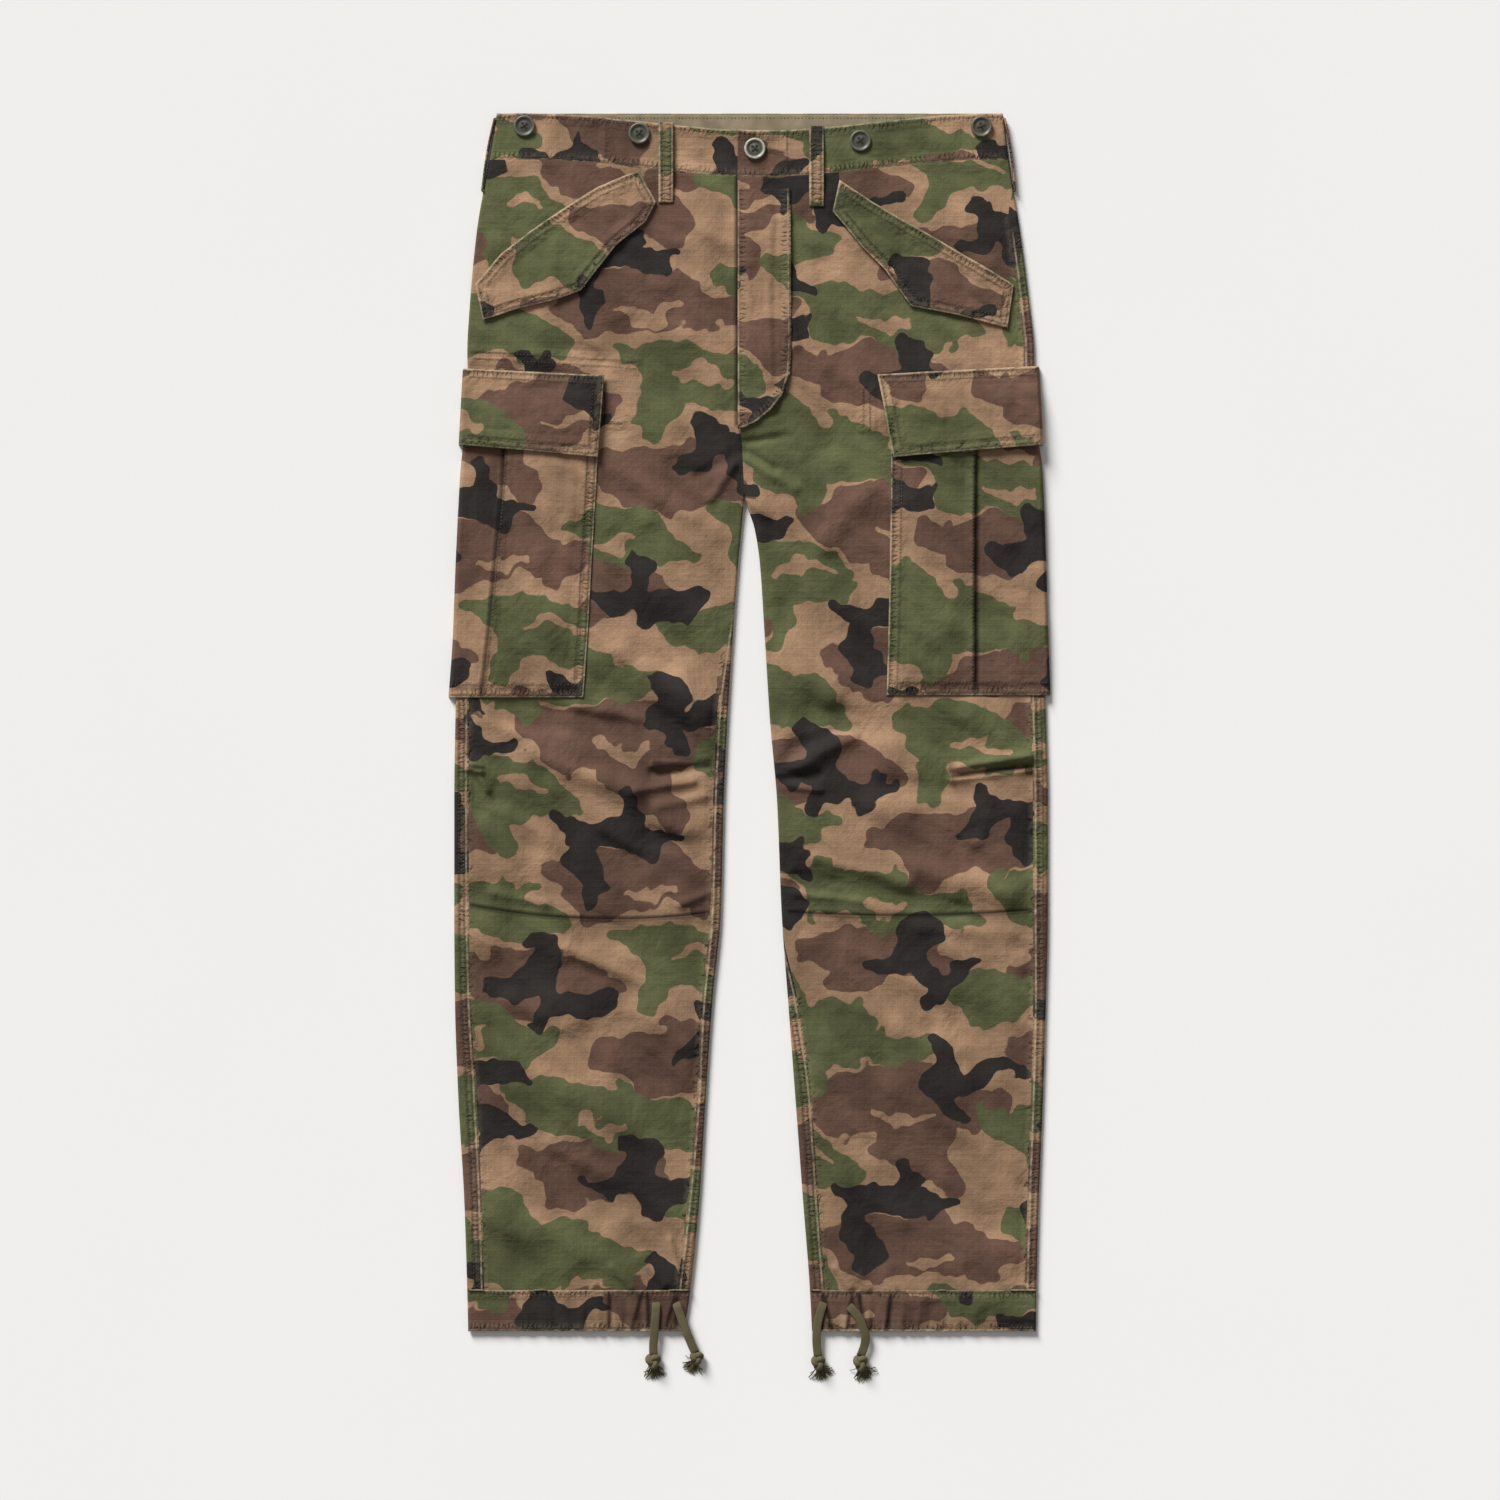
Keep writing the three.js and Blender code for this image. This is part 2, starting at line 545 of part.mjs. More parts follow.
/** Turned hem with the drawstring's channel: a flat ring round the leg, gathered near the inner fold. */
function hemCasing(side) {
  const leg = LEGS[side];
  const [GATHERS, GATHERED_AT, SPREAD] = [10, 0.2, 0.3];
  const rows = steps(2).map((t) => {
    const y = lerp(CASING_TOP, HEM, t);
    const arc = (edge) => steps(3).map((s) => roundFold(edge, y, s * Math.PI * FOLD_RADIUS));
    const [outer, inner] = [arc(leg.outer), arc(leg.inner).reverse()];
    const top = steps(30).slice(1, -1).map((s) => {
      const x = lerp(inner.at(-1).point.x, outer[0].point.x, s);
      const envelope = Math.sin(Math.PI * s) * (0.3 + 0.7 * Math.exp(-(((s - GATHERED_AT) / SPREAD) ** 2)));
      const gather = GATHER_HEIGHT * t * envelope * Math.cos(2 * Math.PI * GATHERS * s);
      return { point: new THREE.Vector3(x, y, PANEL_TOP + relief(x, y) * (1 - t) + gather), normal: up() };
    });
    const bottom = steps(3).slice(1, -1).map((s) => {
      const x = lerp(outer.at(-1).point.x, inner[0].point.x, s);
      return { point: new THREE.Vector3(x, y, 0), normal: down() };
    });
    return [...outer, ...bottom, ...inner, ...top];
  });
  return piece(`hem_casing_${side}`, wall(rows, DOUBLE_CLOTH, true), CAMO_BROWN);
}

// Belt loops on the front: their middle in x, and the y of their ends.
const BELT_LOOPS = { right: { x: -73.5, top: 526.5, bottom: 457.5 }, left: { x: 59, top: 523.5, bottom: 454 } };
const LOOP_WIDTH = 11.5;

/** Folded strip over the waistband, sewn down at both ends. */
function beltLoop(side) {
  const { x, top, bottom } = BELT_LOOPS[side];
  const BOW = 1.4;
  const rows = steps(8).map((t) => {
    const y = lerp(top, bottom, t);
    return steps(2).map((s) => {
      const across = x + LOOP_WIDTH * (s - 0.5);
      const z = PANEL_TOP + LOFT + SEAM_GAP + DOUBLE_CLOTH + BOW * Math.sin(Math.PI * t);
      return { point: new THREE.Vector3(across, y, z), normal: up() };
    });
  });
  return piece(`belt_loop_front_${side}`, wall(rows, DOUBLE_CLOTH), CAMO_TAN);
}

/** Belt loop at a side seam, seen on edge where it turns round the fold. */
function sideLoop(side) {
  const { outer } = LEGS[side];
  const [TOP, BOTTOM] = [531, 468];
  const BOW = 1.6;
  const [LOW, HIGH] = [0.5, 5.4];
  const rows = steps(8).map((t) => {
    const y = lerp(TOP, BOTTOM, t);
    const x = at(OUTLINE, outer.column, y) - outer.inward * (SEAM_GAP + DOUBLE_CLOTH + BOW * Math.sin(Math.PI * t));
    return [LOW, HIGH].map((z) => {
      return { point: new THREE.Vector3(x, y, z), normal: new THREE.Vector3(-outer.inward, 0, 0) };
    });
  });
  return piece(`belt_loop_side_${side}`, wall(rows, DOUBLE_CLOTH), CAMO_GREEN);
}

/** A geometry as a solid that can be joined and cut. */
function solid(geometry) {
  const bare = geometry.clone();
  bare.deleteAttribute("normal");
  bare.deleteAttribute("uv");
  const merged = mergeVertices(bare, 1e-4);
  return new moduleLibrary.Manifold(
    new moduleLibrary.Mesh({
      numProp: 3,
      vertProperties: new Float32Array(merged.attributes.position.array),
      triVerts: new Uint32Array(merged.index.array),
    }),
  );
}

/** A solid back as a geometry. */
function geometryOf(made) {
  const mesh = made.getMesh();
  const geometry = new THREE.BufferGeometry();
  geometry.setAttribute("position", new THREE.Float32BufferAttribute(mesh.vertProperties, 3));
  geometry.setIndex([...mesh.triVerts]);
  geometry.computeVertexNormals();
  return geometry;
}

/** Four-hole button: a turned disc with a raised rim and a sunk middle. */
function buttonGeometry() {
  const [HEIGHT, RIM, SINK] = [3, 1.6, 0.8];
  const profile = [
    [0, 0], [BUTTON_RADIUS - 1, 0], [BUTTON_RADIUS, 1.2], [BUTTON_RADIUS - 0.6, HEIGHT - 0.2],
    [BUTTON_RADIUS - RIM, HEIGHT], [BUTTON_RADIUS - 2 * RIM, HEIGHT - SINK], [0, HEIGHT - SINK],
  ].map(([r, z]) => new THREE.Vector2(r, z));
  let made = solid(new THREE.LatheGeometry(profile, 16).rotateX(Math.PI / 2));
  const [HOLE_RADIUS, HOLE_PLACE] = [1, 1.9];
  for (const [sx, sy] of [[1, 1], [-1, 1], [-1, -1], [1, -1]]) {
    const hole = new THREE.CylinderGeometry(HOLE_RADIUS, HOLE_RADIUS, 4 * HEIGHT, 6).rotateX(Math.PI / 2);
    made = made.subtract(solid(hole.translate(sx * HOLE_PLACE, sy * HOLE_PLACE, 0)));
  }
  return geometryOf(made);
}

// Buttons on the waistband: four to hold a brace or waist tab, and the fly's.
const BUTTONS = table("name x y", [
  ["button_right_side", -198, 524],
  ["button_right_front", -97, 517.5],
  ["button_left_front", 97.5, 511],
  ["button_left_side", 204, 523.5],
  ["button_fly", 4.7, 504],
]);

/** A waistband button, resting on the band under it. */
function button({ name, x, y }) {
  const mesh = piece(name, buttonGeometry(), HORN, 0.35);
  mesh.position.set(x, y, highestNear(topOf, x, y, BUTTON_RADIUS) + SEAM_GAP);
  return mesh;
}

// Drawstring ends: the tape's middle from the hem casing to its knot, with its height over the casing.
const TAPE_WIDTH = 7.5;
const TAPE_THICKNESS = 1.6;
const ON_CASING = PANEL_TOP + LOFT + SEAM_GAP + TAPE_THICKNESS / 2;
const BY_THE_FOLD = ON_CASING - 0.6;
const TAPES = {
  right_front: table("x y z", [
    [-82, -506, ON_CASING], [-82.2, -518, ON_CASING], [-83.2, -530, ON_CASING], [-83.9, -538, ON_CASING],
    [-84.4, -544, 6], [-84.7, -549.5, 5], [-84.6, -554.9, 4.6],
  ]),
  right_back: table("x y z", [
    [-66, -506, BY_THE_FOLD], [-63, -516, BY_THE_FOLD], [-58.5, -528, BY_THE_FOLD], [-55, -538, BY_THE_FOLD],
    [-52.8, -543, 5.6], [-50.6, -548.5, 5], [-48.6, -553, 4.6],
  ]),
  left_back: table("x y z", [
    [67, -506, BY_THE_FOLD], [63, -517, BY_THE_FOLD], [60, -528, BY_THE_FOLD], [58.9, -538, BY_THE_FOLD],
    [58.9, -544, 5.6], [59.3, -550, 5], [60, -556.2, 4.6],
  ]),
  left_front: table("x y z", [
    [82.5, -510, ON_CASING], [90, -516, ON_CASING], [97.5, -525.5, ON_CASING], [101.8, -538, ON_CASING],
    [102.1, -544, 6], [101, -549.5, 5], [98.9, -555, 4.6],
  ]),
};

/** Flat tape along its route, 0.6 of its thickness at the edges. */
function drawstring(name, route) {
  const points = route.map(({ x, y, z }) => new THREE.Vector3(x, y, z));
  const [HALF, EDGE, FLAT] = [TAPE_WIDTH / 2, 0.3, 0.7];
  const section = [
    [-HALF, -EDGE], [-HALF * FLAT, -TAPE_THICKNESS / 2], [HALF * FLAT, -TAPE_THICKNESS / 2],
    [HALF, -EDGE], [HALF, EDGE], [HALF * FLAT, TAPE_THICKNESS / 2], [-HALF * FLAT, TAPE_THICKNESS / 2], [-HALF, EDGE],
  ];
  const vertices = points.flatMap((point, i) => {
    const ahead = points[Math.min(i + 1, points.length - 1)].clone().sub(points[Math.max(i - 1, 0)]).normalize();
    const across = new THREE.Vector3().crossVectors(ahead, up()).normalize();
    const thick = new THREE.Vector3().crossVectors(across, ahead);
    return section.map(([w, h]) => point.clone().addScaledVector(across, w).addScaledVector(thick, h));
  });
  const sides = section.length;
  const last = vertices.length - sides;
  const triangles = [];
  for (let i = 0; i + sides < vertices.length; i += sides)
    for (let k = 0; k < sides; k++) {
      const [a, b] = [i + k, i + ((k + 1) % sides)];
      triangles.push([a, b, b + sides], [a, b + sides, a + sides]);
    }
  for (let k = 1; k < sides - 1; k++) triangles.push([0, k + 1, k], [last, last + k, last + k + 1]);
  return piece(`drawstring_${name}`, closedGeometry(vertices, triangles), TAPE, 0.85);
}

// Knots at the drawstring ends: centre, half sizes, and which way (degrees from +X) the frayed end points.
const KNOTS = table("name x y halfWidth halfHeight halfDepth fray", [
  ["right_front", -84.9, -562.2, 7.4, 7.6, 4.4, -80],
  ["right_back", -46.4, -559.4, 6.6, 6.4, 4.2, -118],
  ["left_back", 60.5, -563.6, 6.8, 7.4, 4.4, -70],
  ["left_front", 97.6, -563.7, 7, 8.2, 4.4, -72],
]);

/** Knotted tape end: a lumpy knot with a short tuft of frayed strands rooted in it. */
function knot({ name, x, y, halfWidth, halfHeight, halfDepth, fray }) {
  const [STRANDS, SPREAD, LENGTH, STRAND_RADIUS, LUMP] = [9, 75, 12, 0.8, 0.1];
  const head = new THREE.SphereGeometry(1, 10, 6);
  const places = head.attributes.position;
  for (let i = 0; i < places.count; i++) {
    const v = new THREE.Vector3().fromBufferAttribute(places, i);
    const bump = 1 + LUMP * Math.sin(4 * v.x + 2 * v.y) * Math.cos(3 * v.y - 2 * v.z);
    places.setXYZ(i, v.x * halfWidth * bump, v.y * halfHeight * bump, v.z * halfDepth);
  }
  let made = solid(head);
  for (const t of steps(STRANDS - 1)) {
    const turn = THREE.MathUtils.degToRad(fray + SPREAD * (t - 0.5));
    const reach = halfHeight + LENGTH * (0.7 + 0.3 * Math.cos(17 * t));
    const strand = new THREE.CylinderGeometry(STRAND_RADIUS * 0.6, STRAND_RADIUS, reach, 3);
    const toFloor = -halfDepth + SEAM_GAP + STRAND_RADIUS;
    const tip = new THREE.Vector3(Math.cos(turn) * reach, Math.sin(turn) * reach, toFloor + 0.9 * Math.abs(Math.sin(9 * t)));
    strand.translate(0, reach / 2, 0);
    strand.applyQuaternion(new THREE.Quaternion().setFromUnitVectors(new THREE.Vector3(0, 1, 0), tip.normalize()));
    made = made.add(solid(strand));
  }
  const mesh = piece(`drawstring_knot_${name}`, geometryOf(made), TAPE, 0.9);
  mesh.position.set(x, y, halfDepth + SEAM_GAP);
  return mesh;
}

const trousers = new THREE.Group();
trousers.name = "cargo_trousers";
for (const side of ["right", "left"])
  for (const make of [frontPanel, backPanel, waistbandFront, hipFlap, cargoPocket, cargoFlap, hemCasing, beltLoop, sideLoop])
    trousers.add(make(side));
trousers.add(waistbandBack(), waistbandFacing(), flyPlacket());
for (const row of BUTTONS) trousers.add(button(row));
for (const [name, route] of Object.entries(TAPES)) trousers.add(drawstring(name, route));
for (const row of KNOTS) trousers.add(knot(row));
trousers.updateMatrixWorld(true);

export default trousers;
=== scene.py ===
"""Cargo trousers laid flat, front up: the looks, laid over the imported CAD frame.

Every length in the tables is in millimetres in the row frame: +X towards the wearer's left,
+Y towards the waist, +Z up from the surface that the trousers lie on. Meshes are made in metres.
"Right" and "left" are the wearer's, so the right leg lies at negative x.
"""

import logging
import math
from collections.abc import Callable, Sequence
from dataclasses import dataclass, field
from enum import Enum

import bpy
import numpy as np
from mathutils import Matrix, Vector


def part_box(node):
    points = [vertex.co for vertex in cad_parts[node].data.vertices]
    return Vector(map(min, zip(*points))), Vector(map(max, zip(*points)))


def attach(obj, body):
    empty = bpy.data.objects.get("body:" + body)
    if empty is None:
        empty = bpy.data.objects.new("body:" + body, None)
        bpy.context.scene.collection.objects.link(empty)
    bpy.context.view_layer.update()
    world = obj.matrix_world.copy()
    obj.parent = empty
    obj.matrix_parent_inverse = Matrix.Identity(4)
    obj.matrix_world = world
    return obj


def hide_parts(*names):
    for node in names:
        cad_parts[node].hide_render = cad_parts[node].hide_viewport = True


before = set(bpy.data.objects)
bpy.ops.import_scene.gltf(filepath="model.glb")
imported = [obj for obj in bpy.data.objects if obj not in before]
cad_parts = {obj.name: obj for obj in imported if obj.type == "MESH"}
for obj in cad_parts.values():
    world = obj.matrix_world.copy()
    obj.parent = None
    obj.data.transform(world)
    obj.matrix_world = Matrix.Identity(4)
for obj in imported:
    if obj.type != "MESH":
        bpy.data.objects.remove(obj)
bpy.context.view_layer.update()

LOG = logging.getLogger("trousers")
Array = np.ndarray
Socket = bpy.types.NodeSocket
Height = Callable[[Array, Array], Array]

MM = 0.001
RNG_SEED = 7

# Driving sizes, as in the CAD.
CLOTH = 1.2
SEAM_GAP = 0.3
FOLD_RADIUS = 2.3
PANEL_TOP = 2 * FOLD_RADIUS
LOFT = 1.1
WAIST_TOP = 535.5
BAND_BOTTOM = 495.0
WAIST_DIP = 15.0
CASING_TOP = -500.0
HEM = -535.5
CROTCH = 203.0
KNEE = -168.0
EDGE_ROLL = 0.55  # radius of a turned, pressed cloth edge
STRANDS = 60  # frayed strands under each of the four knots
FOLD_COLUMNS = 9  # columns of points of a front round each of its folds
PUCKER_PITCH = 4.2  # from one pucker to the next along a sewn edge

# The photograph's scale, for the camera.
PHOTO_MM_PER_PX = 0.88
PHOTO_X0 = 749.5  # pixel column over x = 0
PHOTO_Y0 = 722.0  # pixel row over y = 0
PHOTO_SIZE = 1500

# The columns of the next two tables, after y.
RIGHT_OUTER, RIGHT_INNER, LEFT_INNER, LEFT_OUTER = range(1, 5)

# Columns: y, rightOuter, rightInner, leftInner, leftOuter. x of each leg's folds at heights y.
OUTLINE = np.array([
    [536, -222.5, -10.3, -10, 223],
    [493, -229.5, -10.3, -10, 228.5],
    [433, -240, -10.3, -10, 238],
    [371, -246, -10.3, -10, 246],
    [325, -248.5, -10.3, -10, 250.5],
    [300, -248, -10.3, -10, 250.5],
    [270, -249, -9, -8.7, 251.5],
    [248, -249.8, -7, -6.7, 252.3],
    [200, -251.5, -4.9, -4.4, 254.5],
    [170, -253, -7.2, 4.5, 256],
    [143, -254, -9.7, 8.8, 257],
    [72, -257, -15, 13.6, 259],
    [2, -259, -19.4, 18, 261],
    [-69, -260, -22.7, 24.2, 262.7],
    [-170, -260, -25.4, 28.4, 262.7],
    [-245, -259.4, -32.6, 33.9, 261],
    [-333, -256.3, -38.7, 40.5, 258.3],
    [-421, -251.2, -44.2, 47.1, 254.8],
    [-500, -248.6, -52, 53.2, 252.6],
    [-536, -247.7, -57.6, 55, 252.1],
])

# The same columns: how far each seam lies in from its fold. Below zero it is round on the fold.
FOLD = -math.pi / 2 * FOLD_RADIUS
SEAMS = np.array([
    [536, FOLD, FOLD, FOLD, FOLD],
    [480, FOLD, FOLD, FOLD, FOLD],
    [440, FOLD, FOLD, FOLD, 6.5],
    [311, FOLD, FOLD, FOLD, 7],
    [140, FOLD, FOLD, FOLD, 9],
    [80, 4, 2, FOLD, 10],
    [0, 10, 7, FOLD, 11],
    [-170, 11, 7, FOLD, 11],
    [-245, 12, 7, 6, 9],
    [-333, 14, 5.5, 12, 8.3],
    [-475, 13, 9, 11, 8],
    [-536, 13, 9, 11, 8],
])

# Rows of stitches across the fronts: x and y of their two ends.
BODY_ROWS = ((-243, 326, -100, 317), (-243, 320, -100, 311), (-127, 297, -127, 263), (-127, 263, -113, 263),
             (100, 292, 100, 259), (106, 292, 106, 259))
# Columns: x1, y1, x2, y2 of the short rows across the waistband, and of the slit beside the fly button.
BAND_ROWS = ((-126.3, 528, -126.3, 497), (33, 520, 33, 483))
BUTTONHOLE = (13.6, 503.4, 29.5, 500.4)
# Gathers of the hem casing that hold a painted shade line: distance from the inner fold and lean.
HEM_GATHERS = ((8.0, 0.1), (17.0, -0.15), (31.0, 0.2), (46.0, -0.1), (66.0, 0.15))
# Creases sharp enough to hold a painted shade line: x and y of their two ends.
SHARP_CREASES = ((-249, -39, -234, -40), (-84, -36, -31, -39), (23, -48, 44, -48), (178, -48, 248, -39))

# Columns: x1, y1, x2, y2, height, half width. A ridge, or a trough below zero, from point 1 to 2.
FOLDS = np.array([
    # the large folds, which the CAD has too
    [-165, -80, -108, -130, -1.4, 11],
    [-190, -30, -100, -62, 1.2, 10],
    [-85, -100, -45, -112, -1.2, 9],
    [-84, -44, -26, -38, -1.8, 4],
    [-130, -182, -50, -212, -1.3, 12],
    [-140, -245, -95, -300, -1.2, 14],
    [-168, -400, -128, -425, -1.1, 14],
    [-88, 157, -42, 112, -1.3, 13],
    [-120, 60, -45, 8, 1.3, 13],
    [-130, 30, -60, -8, -1.1, 10],
    [-240, -190, -150, -260, 0.9, 12],
    [24, 170, 80, 122, -1.4, 14],
    [40, 105, 100, 62, -1.1, 13],
    [24, -50, 60, -46, -1.8, 4],
    [181, -47, 250, -38, -1.8, 4],
    [44, -38, 90, -12, 1.3, 8],
    [40, -139, 185, -166, -1.9, 6],
    [88, -183, 170, -220, -1.3, 13],
    [115, -403, 212, -438, -1.1, 14],
    [110, -70, 190, -110, 1, 12],
    # short sharp tucks above the knees
    [-249, -41, -236, -43, 1.3, 3],
    [-84, -38, -31, -41, 1.3, 3],
    [23, -50, 44, -50, 1.2, 3],
    [178, -50, 248, -41, 1.4, 3],
    # broad sags that only show as shade
    [-215, 8, -100, -8, -1.9, 10],
    [-220, -62, -160, -98, -1.5, 10],
    [-100, -62, -60, -96, 1.4, 12],
    [-60, 40, -30, -20, 1.4, 12],
    [60, 5, 180, -12, -1.7, 11],
    [200, 10, 240, -30, 1.4, 12],
    [30, 60, 70, 20, 1.4, 14],
    [150, -130, 230, -150, 1.4, 12],
    [-220, -215, -120, -240, -1.5, 18],
    [-90, -250, -40, -300, 1.4, 16],
    [-200, -310, -110, -350, 1.2, 18],
    [-220, -430, -150, -470, 1.0, 16],
    [60, -215, 150, -260, -1.4, 18],
    [70, -300, 170, -340, 1.0, 20],
    [190, -260, 245, -300, -1.2, 16],
    [60, -400, 110, -460, -1.0, 16],
    [-110, 340, -40, 260, -1.2, 16],
    [-120, 300, -70, 240, 1.0, 14],
    [60, 330, 110, 270, 1.0, 14],
    [20, 300, 60, 240, -1.0, 12],
    [-120, 140, -60, 90, 1.2, 14],
    [100, 200, 60, 150, 1.0, 12],
    # finer creases
    [-246, -45, -236, -78, -1.0, 5],
    [-244, -40, -230, -60, 0.9, 3],
    [-235, 2, -150, -28, 0.7, 9],
    [-150, 12, -100, 2, 0.8, 8],
    [-210, -75, -165, -105, 0.8, 8],
    [-130, -95, -100, -112, 0.7, 6],
    [-80, -74, -40, -66, 0.7, 5],
    [-100, -60, -50, -52, 0.9, 4],
    [-225, -150, -180, -160, 0.7, 5],
    [-160, -200, -90, -232, 0.8, 7],
    [-60, -160, -35, -150, 0.8, 4],
    [-210, -245, -160, -270, 0.6, 8],
    [-90, -330, -60, -350, 0.5, 8],
    [-190, -370, -130, -395, 0.5, 9],
    [-95, -470, -75, -495, 0.8, 4],
    [-70, -455, -60, -495, 0.7, 3],
    [-120, -480, -105, -497, 0.6, 4],
    [26, -55, 62, -60, 0.8, 3],
    [30, -30, 78, -2, -0.8, 6],
    [185, -40, 245, -30, 0.8, 4],
    [120, -55, 200, -62, -0.7, 7],
    [150, -85, 200, -118, -0.9, 8],
    [30, -150, 100, -156, 0.7, 4],
    [60, -120, 140, -142, 0.8, 6],
    [150, -180, 230, -186, 0.6, 7],
    [100, -250, 180, -290, 0.6, 10],
    [60, -330, 90, -420, 0.5, 8],
    [180, -340, 240, -365, -0.5, 9],
    [75, -480, 88, -497, 0.9, 3.5],
    [98, -486, 104, -498, 0.8, 3.5],
    [120, -484, 128, -498, 0.6, 4],
    [-4, 238, 22, 222, -1.0, 3.5],
    [-4, 246, 34, 252, -0.8, 3],
    [0, 232, 40, 205, 0.8, 5],
    [-14, 236, -44, 216, -0.7, 5],
    [-14, 226, -34, 196, 0.7, 4],
    [2, 190, 46, 160, 0.7, 7],
    [-98, 210, -50, 180, 0.6, 9],
    [-200, 330, -160, 310, 0.5, 8],
    [-160, 330, -128, 318, -0.6, 6],
    [-60, 420, -30, 360, 0.5, 9],
    [30, 440, 40, 330, 0.5, 5],
    [60, 400, 90, 340, -0.4, 9],
    [14, 466, 18, 300, -0.45, 4],
    [26, 460, 27, 310, 0.4, 3.5],
    [-82, 300, -60, 262, 0.5, 9],
])

FOLD_GAIN = 3.7  # the folds stand this much higher here than in the CAD, to take the light
DEEPEST = 2.9  # of a trough in the front, below its lofted height
TUCK_STEP = 2.8  # from the cloth above the knee tuck up to that below it
TUCK_REACH = 26.0  # over which that step fades
PLEAT_STEP = 2.4  # of a cargo pocket's upper layer over its lower one

# Columns: y, stitched edge, pleat, outer fold. x of each at heights y.
CARGO_POCKETS = {
    "right": np.array([
        [302, -130, -213, -250.4], [248, -133.5, -215, -252.2], [222, -134.5, -216, -254.6],
        [143, -139, -223, -258.8], [72, -143, -229.5, -261.6], [22, -146.5, -235.5, -265.2],
    ]),
    "left": np.array([
        [302, 120, 199, 253.1], [248, 124.5, 199, 254.9], [222, 125, 198.5, 258.2],
        [143, 124, 198, 261.4], [72, 122.5, 198, 263.6], [24, 121, 198, 265.2],
    ]),
}

# Columns: inner end's x and y, outer end's x and y. The sewn edge, then the free edge.
CARGO_FLAPS = {
    "right": np.array([[-128, 304, -252.6, 310.5], [-133.5, 233, -256.2, 244]]),
    "left": np.array([[113, 305, 255.2, 312.5], [126.5, 233, 259, 244]]),
}

# Columns: x1, y1 on the sewn upper edge, x2, y2 on the free lower edge.
HIP_FLAPS = {
    "right": np.array([
        [-241, 385, -234, 354], [-218.5, 411, -206, 363], [-193, 431, -170.5, 371.5],
        [-165, 450, -148, 380], [-133.5, 470, -118, 419], [-107, 481, -91.5, 440], [-97.5, 484, -82.5, 457],
    ]),
    "left": np.array([
        [79.5, 476, 73.5, 449], [108, 457, 99, 418], [137, 440, 119.5, 397.5],
        [169.5, 421.5, 142, 366], [201, 403, 183.5, 358], [232, 384.5, 226.5, 347],
    ]),
}

FLY_EDGE_X = -9.8  # of the placket's free edge
# Columns: y, x of the placket's stitched edge. Its lower end curves in to the front seam.
FLY_EDGE = np.array([
    [482, 35.5], [400, 36], [330, 36.5], [305, 35], [288, 29.5], [275, 20], [264, 7], [258, -6.5],
])

# x, top y and bottom y of the loops over the front waistband.
BELT_LOOPS = {"right": (-73.5, 526.5, 457.5), "left": (59.0, 523.5, 454.0)}
LOOP_WIDTH = 11.5

# x and y of each button's middle.
BUTTONS = {
    "button_right_side": (-198.0, 524.0), "button_right_front": (-97.0, 517.5),
    "button_left_front": (97.5, 511.0), "button_left_side": (204.0, 523.5), "button_fly": (4.7, 504.0),
}

# The drawstring ends' routes, as in the CAD: columns x, y, z.
TAPE_WIDTH = 7.5
TAPE_THICKNESS = 1.6
ON_CASING = PANEL_TOP + LOFT + SEAM_GAP + TAPE_THICKNESS / 2
BY_THE_FOLD = ON_CASING - 0.6
TAPES = {
    "right_front": np.array([
        [-82, -506, ON_CASING], [-82.2, -518, ON_CASING], [-83.2, -530, ON_CASING],
        [-83.9, -538, ON_CASING], [-84.4, -544, 6], [-84.7, -549.5, 5], [-84.6, -554.9, 4.6],
    ]),
    "right_back": np.array([
        [-66, -506, BY_THE_FOLD], [-63, -516, BY_THE_FOLD], [-58.5, -528, BY_THE_FOLD],
        [-55, -538, BY_THE_FOLD], [-52.8, -543, 5.6], [-50.6, -548.5, 5], [-48.6, -553, 4.6],
    ]),
    "left_back": np.array([
        [67, -506, BY_THE_FOLD], [63, -517, BY_THE_FOLD], [60, -528, BY_THE_FOLD],
        [58.9, -538, BY_THE_FOLD], [58.9, -544, 5.6], [59.3, -550, 5], [60, -556.2, 4.6],
    ]),
    "left_front": np.array([
        [82.5, -510, ON_CASING], [90, -516, ON_CASING], [97.5, -525.5, ON_CASING],
        [101.8, -538, ON_CASING], [102.1, -544, 6], [101, -549.5, 5], [98.9, -555, 4.6],
    ]),
}
# x, y, half width, half height, half depth, direction of the fray in degrees from +X.
KNOTS = {
    "right_front": (-84.9, -562.2, 7.4, 7.6, 4.4, -80.0),
    "right_back": (-46.4, -559.4, 6.6, 6.4, 4.2, -118.0),
    "left_back": (60.5, -563.6, 6.8, 7.4, 4.4, -70.0),
    "left_front": (97.6, -563.7, 7.0, 8.2, 4.4, -72.0),
}


def smooth(t: Array | float) -> Array:
    """Ease from 0 to 1: three t squared less two t cubed, held at 0 and 1 outside.

    Args:
        t: Where along the ease.

    Returns:
        The eased value.
    """
    t = np.clip(t, 0.0, 1.0)
    return t * t * (3.0 - 2.0 * t)


